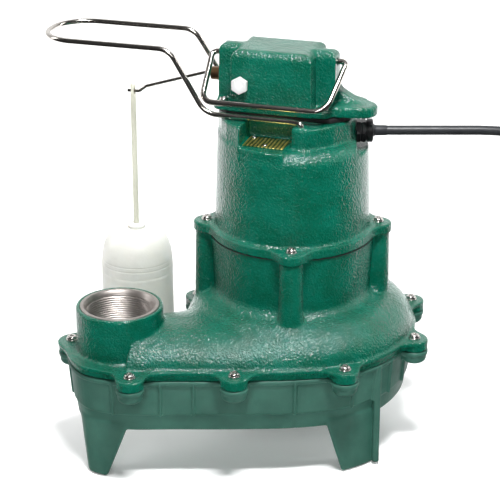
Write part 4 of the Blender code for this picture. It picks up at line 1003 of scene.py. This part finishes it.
def make_switch_case():
    grid = Grid((-0.0740, -0.0340, 0.3240), (0.0840, 0.0340, 0.3845), 0.0006)
    z = grid.z
    along = np.abs(grid.x - CASE_MIDDLE)
    plan = outline_distance(grid, case_plan())
    draft = 0.035 * np.clip(z - CASE_FLANGE_TOP, 0, 1)
    body = slab(plan + draft * 0.5, z - CASE_TOP, 0.0075)
    ends = overlap(body, along - CASE_HALF, 0.002)
    flange = slab(rectangle(grid, (CASE_MIDDLE - CASE_HALF, -0.0295),
                            (CASE_MIDDLE + CASE_HALF, 0.0295), 0.009),
                  between(z, CASE_BOTTOM, CASE_FLANGE_TOP), 0.0012)
    body = union(ends, flange, 0.0030)
    wing = slab(outline_distance(grid, wing_outline()), between(z, CASE_BOTTOM, 0.3360), 0.0032)
    body = union(body, wing, 0.0025)
    wing_end = 0.0640
    slope = (z - 0.3345) * 0.86 + (grid.x - wing_end) * 0.50
    gusset = overlap(overlap(slope, between(grid.y, -0.0040, 0.0120), 0.004), grid.x - wing_end)
    gusset = overlap(gusset, WING_START - 0.001 - grid.x)
    body = union(body, gusset, 0.0050)
    body = overlap(body, CASE_BOTTOM - z, 0.0006)
    middle = slab(np.maximum(along - 0.034, np.abs(grid.y) - 0.0245), z - CASE_TOP + 0.0045, 0.002)
    ends = np.maximum(np.maximum(along - 0.0515, np.abs(grid.y) - 0.0055), z - 0.3640)
    body = minus(body, union(middle, ends))
    bush = overlap(np.hypot(grid.y, z - ARM_AXIS.z) - 0.0063, grid.x + 0.055)
    bail = overlap(np.hypot(grid.y, z - BAIL_AXIS.z) - 0.0033, 0.050 - along)
    plug = overlap(np.hypot(grid.x - TEST_PLUG.x, z - TEST_PLUG.z) - 0.0052, grid.y + 0.015)
    for hole in (bush, bail, plug):
        body = minus(body, hole, 0.0008)
    piece("switch_cover", grid.mesh(body), "casting", "pump", ("switch_case",), IN_CASE)


def flat_ring(outer, inner, low, high):
    return band([(x, y, z) for z in (low, high) for loop in (outer, inner) for x, y in loop])


def moved_in(outline, distance):
    """A closed outline, counter-clockwise, moved inwards."""
    loop = []
    for before, point, after in zip(outline[-1:] + outline[:-1], outline, outline[1:] + outline[:1]):
        ahead = (after - before).normalized()
        loop.append((point.x - ahead.y * distance, point.y + ahead.x * distance))
    return loop


def make_gaskets():
    """Thin seals at the two joints, and the black band under the case."""
    edge = flange_edge()
    mesh = flat_ring(moved_in(edge, 0.0042), moved_in(edge, 0.0120), SEAM - 0.0004, SEAM - 0.0001)
    piece("volute_seal", mesh, "gasket_rubber", "pump", ("base_gasket",), IN_SHAFT)
    circle = [Vector((math.cos(math.radians(a)), math.sin(math.radians(a)))) for a in range(0, 360, 3)]
    mesh = flat_ring([MOTOR_FLANGE_RADIUS * p for p in circle],
                     [(MOTOR_BORE + 0.0005) * p for p in circle], JOINT + 0.0001, JOINT + 0.0004)
    piece("motor_seal", mesh, "gasket_rubber", "pump", ("housing_gasket",), IN_SHAFT)
    body = ((0.0555, -0.011), (0.0555, 0.021), (0.044, 0.0275), (-0.057, 0.0275),
            (-0.0665, 0.017), (-0.0665, -0.017), (-0.057, -0.0265), (0.042, -0.0265))
    mesh = outline_solid(body, PAD_TOP + GAP, CASE_BOTTOM - GAP, 0.0006)
    piece("case_seal", mesh, "gasket_rubber", "pump", ("case_gasket",), IN_CASE)


# ---------------------------------------------------------------- fasteners and small parts
def screw_mesh(head, shank, seat, tip):
    """Round-topped screw with a washer face and a hexagonal socket."""
    socket = head * 0.36
    rings = [(0.0, tip), (shank * 0.55, tip), (shank * 0.85, tip + 0.0006), (shank, tip + 0.0014)]
    rings += [(shank, seat + GAP), (head * 0.98, seat + GAP), (head, seat + GAP + 0.0002),
              (head, seat + GAP + 0.0007), (head * 0.97, seat + GAP + 0.0009),
              (head * 0.86, seat + GAP + 0.0011), (head * 0.845, seat + 0.0017),
              (head * 0.82, seat + 0.0026), (head * 0.76, seat + 0.0033),
              (head * 0.66, seat + 0.0038), (head * 0.52, seat + 0.0040),
              (socket * 1.06, seat + 0.0040, 1.0), (socket, seat + 0.0039, 1.0),
              (socket, seat + 0.0022, 1.0), (socket * 0.5, seat + 0.0018, 1.0), (0.0, seat + 0.0017)]
    return turned(rings, 36, math.radians(50))


def make_fasteners():
    """Every screw, with its socket turned its own way."""
    case_bolts = [(CASE_MIDDLE + sx * 0.0475, sy * 0.0185) for sx in (-1, 1) for sy in (-1, 1)]
    for kind, places, place, twist, head, shank, seat, tip in (
            ("volute", VOLUTE_SCREWS, IN_SHAFT, 0.7, 0.0056, 0.0026, FLANGE_TOP, 0.0890),
            ("motor", motor_bolts(), IN_SHAFT, 1.1, 0.0052, 0.0026, MOTOR_FLANGE_TOP, 0.180),
            ("case", case_bolts, IN_CASE, 0.9, 0.0046, 0.0020, CASE_FLANGE_TOP, 0.308)):
        for index, (x, y) in enumerate(places, 1):
            piece(f"{kind}_bolt_{index}", screw_mesh(head, shank, seat, tip), "screw_steel", "pump",
                  (f"{kind}_screw_{index}",),
                  place @ Matrix.Translation((x, y, 0.0)) @ Matrix.Rotation(index * twist, 4, "Z"))


def make_test_plug():
    rings = [(0.0, -0.0070), (0.0044, -0.0070), (0.0049, -0.0065), (0.0049, 0.00085),
             (0.0076, 0.00085, 1.0), (0.0082, 0.0012, 1.0), (0.0082, 0.0048, 1.0),
             (0.0079, 0.0053, 1.0), (0.0072, 0.0055, 0.7), (0.0058, 0.0056), (0.0, 0.0057)]
    mesh = turned(rings, 72, math.radians(30))
    place = IN_CASE @ Matrix.Translation(TEST_PLUG) @ Matrix.Rotation(math.pi / 2, 4, "X")
    piece("hex_plug", mesh, "bright_plate", "pump", ("test_plug",), place)


def make_plate():
    outline = ((-0.0320, -0.0560), (0.0060, -0.0580), (0.0080, -0.0300), (-0.0320, -0.0300))
    low = LEDGE_TOP + GAP
    seat = low + 0.0007
    mesh = outline_solid(outline, low, seat, 0.0002)
    piece("data_plate", mesh, "brass_plate", "pump", ("nameplate",), IN_CASE)
    for index, (x, y) in enumerate(PLATE_PINS, 1):
        rings = [(0.0, 0.3000), (0.0011, 0.3000), (0.0011, seat), (0.0021, seat),
                 (0.0022, seat + 0.0003), (0.0020, seat + 0.0008), (0.0014, seat + 0.0012),
                 (0.0006, seat + 0.0014), (0.0, seat + 0.00145)]
        piece(f"drive_pin_{index}", turned(rings, 24), "screw_steel", "pump",
              (f"nameplate_pin_{index}",), IN_CASE @ Matrix.Translation((x, y, 0.0)))


def make_gland():
    """Black moulded hexagonal nut with a washer face and ribbed flats."""
    rings = [(0.0100, 0.00035), (0.0108, 0.0006, 0.5), (0.0112, 0.0012, 1.0), (0.0112, 0.0040, 1.0),
             (0.0105, 0.0044, 1.0), (0.0105, 0.0056, 1.0), (0.0112, 0.0060, 1.0),
             (0.0112, 0.0082, 1.0), (0.0108, 0.0090, 0.6), (0.0096, 0.0092), (0.0096, 0.0101),
             (0.0106, 0.0104), (0.0109, 0.0109), (0.0109, 0.0148), (0.0104, 0.0156),
             (0.0090, 0.0160), (0.0060, 0.0161)]
    mesh = turned(rings, 72, math.radians(30))
    place = IN_SHAFT @ Matrix.Translation(GLAND) @ Matrix.Rotation(math.pi / 2, 4, "Y")
    piece("gland_nut", mesh, "black_moulding", "pump", ("cord_gland_nut",), place)


# ---------------------------------------------------------------- rods
def make_bail():
    reach, drop, width, hole, out = -0.0385, -0.0370, 0.0625, 0.0530, 0.0635
    corners = [(-hole, 0.0, 0.0), (-out, 0.0, 0.0), (-width, reach, drop),
               (width - 0.0085, reach, drop), (out, 0.0, 0.0), (hole, 0.0, 0.0)]
    data = wire(bent_path(corners, [0.0085, 0.0105, 0.0150, 0.0085]), BAIL_RADIUS, 8)
    piece("carrying_bail", data, "stainless_rod", "bail", ("bail_handle",),
          IN_CASE @ Matrix.Translation(BAIL_AXIS))


def make_guard():
    top, low, side, near = 0.3810, 0.3245, 0.0365, 0.0405
    x_end, y_end = 0.0195, 0.0440
    half = [(x_end, y_end, 0.3105), (x_end, y_end, low), (x_end - 0.012, near, low),
            (-0.0725, near - 0.001, low), (-0.1080, side, top), (GUARD_TIP, side, top)]
    corners = half + [(x, -y, z) for x, y, z in half[::-1]]
    bends = [0.003, 0.006, 0.020, 0.018, side - 0.0030]
    path = bent_path(corners, bends + bends[::-1], 18)
    data = wire(path, GUARD_RADIUS, 8)
    piece("guard_loop", data, "stainless_rod", "pump", ("float_guard",), IN_CASE)


def make_arm():
    tail = HOOK - ARM_AXIS
    corners = [(0.030, 0.0, 0.0), (-0.0130, 0.0, 0.0), (-0.0725, 0.0, -0.0190),
               (tail.x + 0.006, 0.0, tail.z), (tail.x - 0.0050, 0.0, tail.z)]
    data = wire(bent_path(corners, 0.004), ARM_RADIUS)
    place = IN_CASE @ Matrix.Translation(ARM_AXIS)
    piece("arm_rod", data, "stainless_rod", "arm", ("float_arm",), place)
    turn = place @ Matrix.Rotation(math.pi / 2, 4, "Y")
    ball = [(ARM_RADIUS + GAP / 2, -0.0042)]
    ball += [(0.0047 * math.cos(math.radians(a)) + 0.0001, 0.0042 * math.sin(math.radians(a)))
             for a in range(-60, 61, 10)]
    ball += [(ARM_RADIUS + GAP / 2, 0.0042)]
    piece("pivot_ball", ring_solid(ball, 40), "bronze", "arm", ("arm_pivot_ball",), turn)
    bush = [(0.0051, -0.0065), (0.0058, -0.0068), (0.0062, -0.0062), (0.0062, 0.0053),
            (0.0060, 0.0055), (0.0051, 0.0055)]
    piece("pivot_bush", ring_solid(bush, 48), "bronze", "pump", ("pivot_bushing",), turn)


# ---------------------------------------------------------------- float
def smooth_profile(points, steps=6):
    return [(p.x, p.y) for p in through([Vector((r, z)) for r, z in points], steps)]


def make_float():
    place = IN_CASE @ Matrix.Translation((HOOK.x, HOOK.y, 0.0))
    shell = smooth_profile([(0.0216, FLOAT_BOTTOM), (0.0290, FLOAT_BOTTOM + 0.0022),
                            (0.0336, FLOAT_BOTTOM + 0.0070), (0.0350, FLOAT_BOTTOM + 0.0160),
                            (0.0349, 0.1300), (0.0347, 0.1530), (0.0335, 0.1660),
                            (0.0303, 0.1765), (0.0245, 0.1840), (0.0160, 0.1884), (0.0078, 0.1898)])
    grooved = list(shell)
    for seam in (0.1466, 0.1545, 0.1585):
        grooved += [(float(np.interp(seam + dz, [p[1] for p in shell], [p[0] for p in shell])) - cut,
                     seam + dz) for dz, cut in ((-0.0005, 0.0), (-0.0002, 0.00010),
                                                (0.0002, 0.00010), (0.0005, 0.0))]
    grooved.sort(key=lambda p: p[1])
    lower = [(0.0, FLOAT_BOTTOM + 0.0016), (0.0100, FLOAT_BOTTOM + 0.0014),
             (0.0150, FLOAT_BOTTOM + 0.0004), (0.0180, FLOAT_BOTTOM)]
    rings = lower + grooved + [(0.0032, 0.1900), (0.0, 0.1900)]
    piece("float_ball", turned(rings, 96), "float_moulding", "float", ("float_body",), place)
    collar = [(0.0028, 0.1893), (0.0082, 0.1893), (0.0086, 0.1902), (0.0084, 0.1918),
              (0.0066, 0.1928), (0.0062, 0.1936), (0.0056, 0.1940), (0.0028, 0.1940)]
    piece("rod_collar", ring_solid(collar, 48), "float_moulding", "float", ("float_collar",),
          place)
    make_rod(place)


def make_rod(place):
    """Hanging rod with a slot eye near its rounded top."""
    radius, shoulder = 0.0026, 0.3318
    grid = Grid((-0.0036, -0.0036, 0.3140), (0.0036, 0.0036, 0.3365), 0.00016)
    side, above = grid.radius - radius, grid.z - shoulder
    head = overlap(side, np.hypot(grid.radius, above) - 0.0029, 0.0008)
    head = union(overlap(side, above), overlap(head, -above))
    eye = slab(np.abs(grid.y) - 0.0018, np.abs(grid.z - HOOK.z) - 0.0034, 0.0012)
    head = minus(head, eye, 0.0006)
    head = overlap(head, 0.3150 - grid.z)
    low, high = 0.1765, 0.3152
    stem = turned([(0.0, low), (radius, low), (radius, high), (0.0, high)], 40)
    piece("hanging_rod", joined([stem, grid.mesh(head)]), "rod_moulding", "float",
          ("float_rod",), place)


# ---------------------------------------------------------------- build
def finish_cad_nodes():
    """The pieces inside keep their CAD meshes, with procedural materials."""
    for part in frame["record"]["subparts"]:
        node = frame["nodes"][part["node"]]
        node.data.materials.clear()
        node.data.materials.append(MATERIALS[part["material_slot"]])


make_camera()
make_light()
make_floor()
finish_cad_nodes()
make_cord()
make_pump_housing()
make_thread()
make_base()
make_motor_housing()
make_switch_case()
make_gaskets()
make_fasteners()
make_test_plug()
make_plate()
make_gland()
make_bail()
make_guard()
make_arm()
make_float()
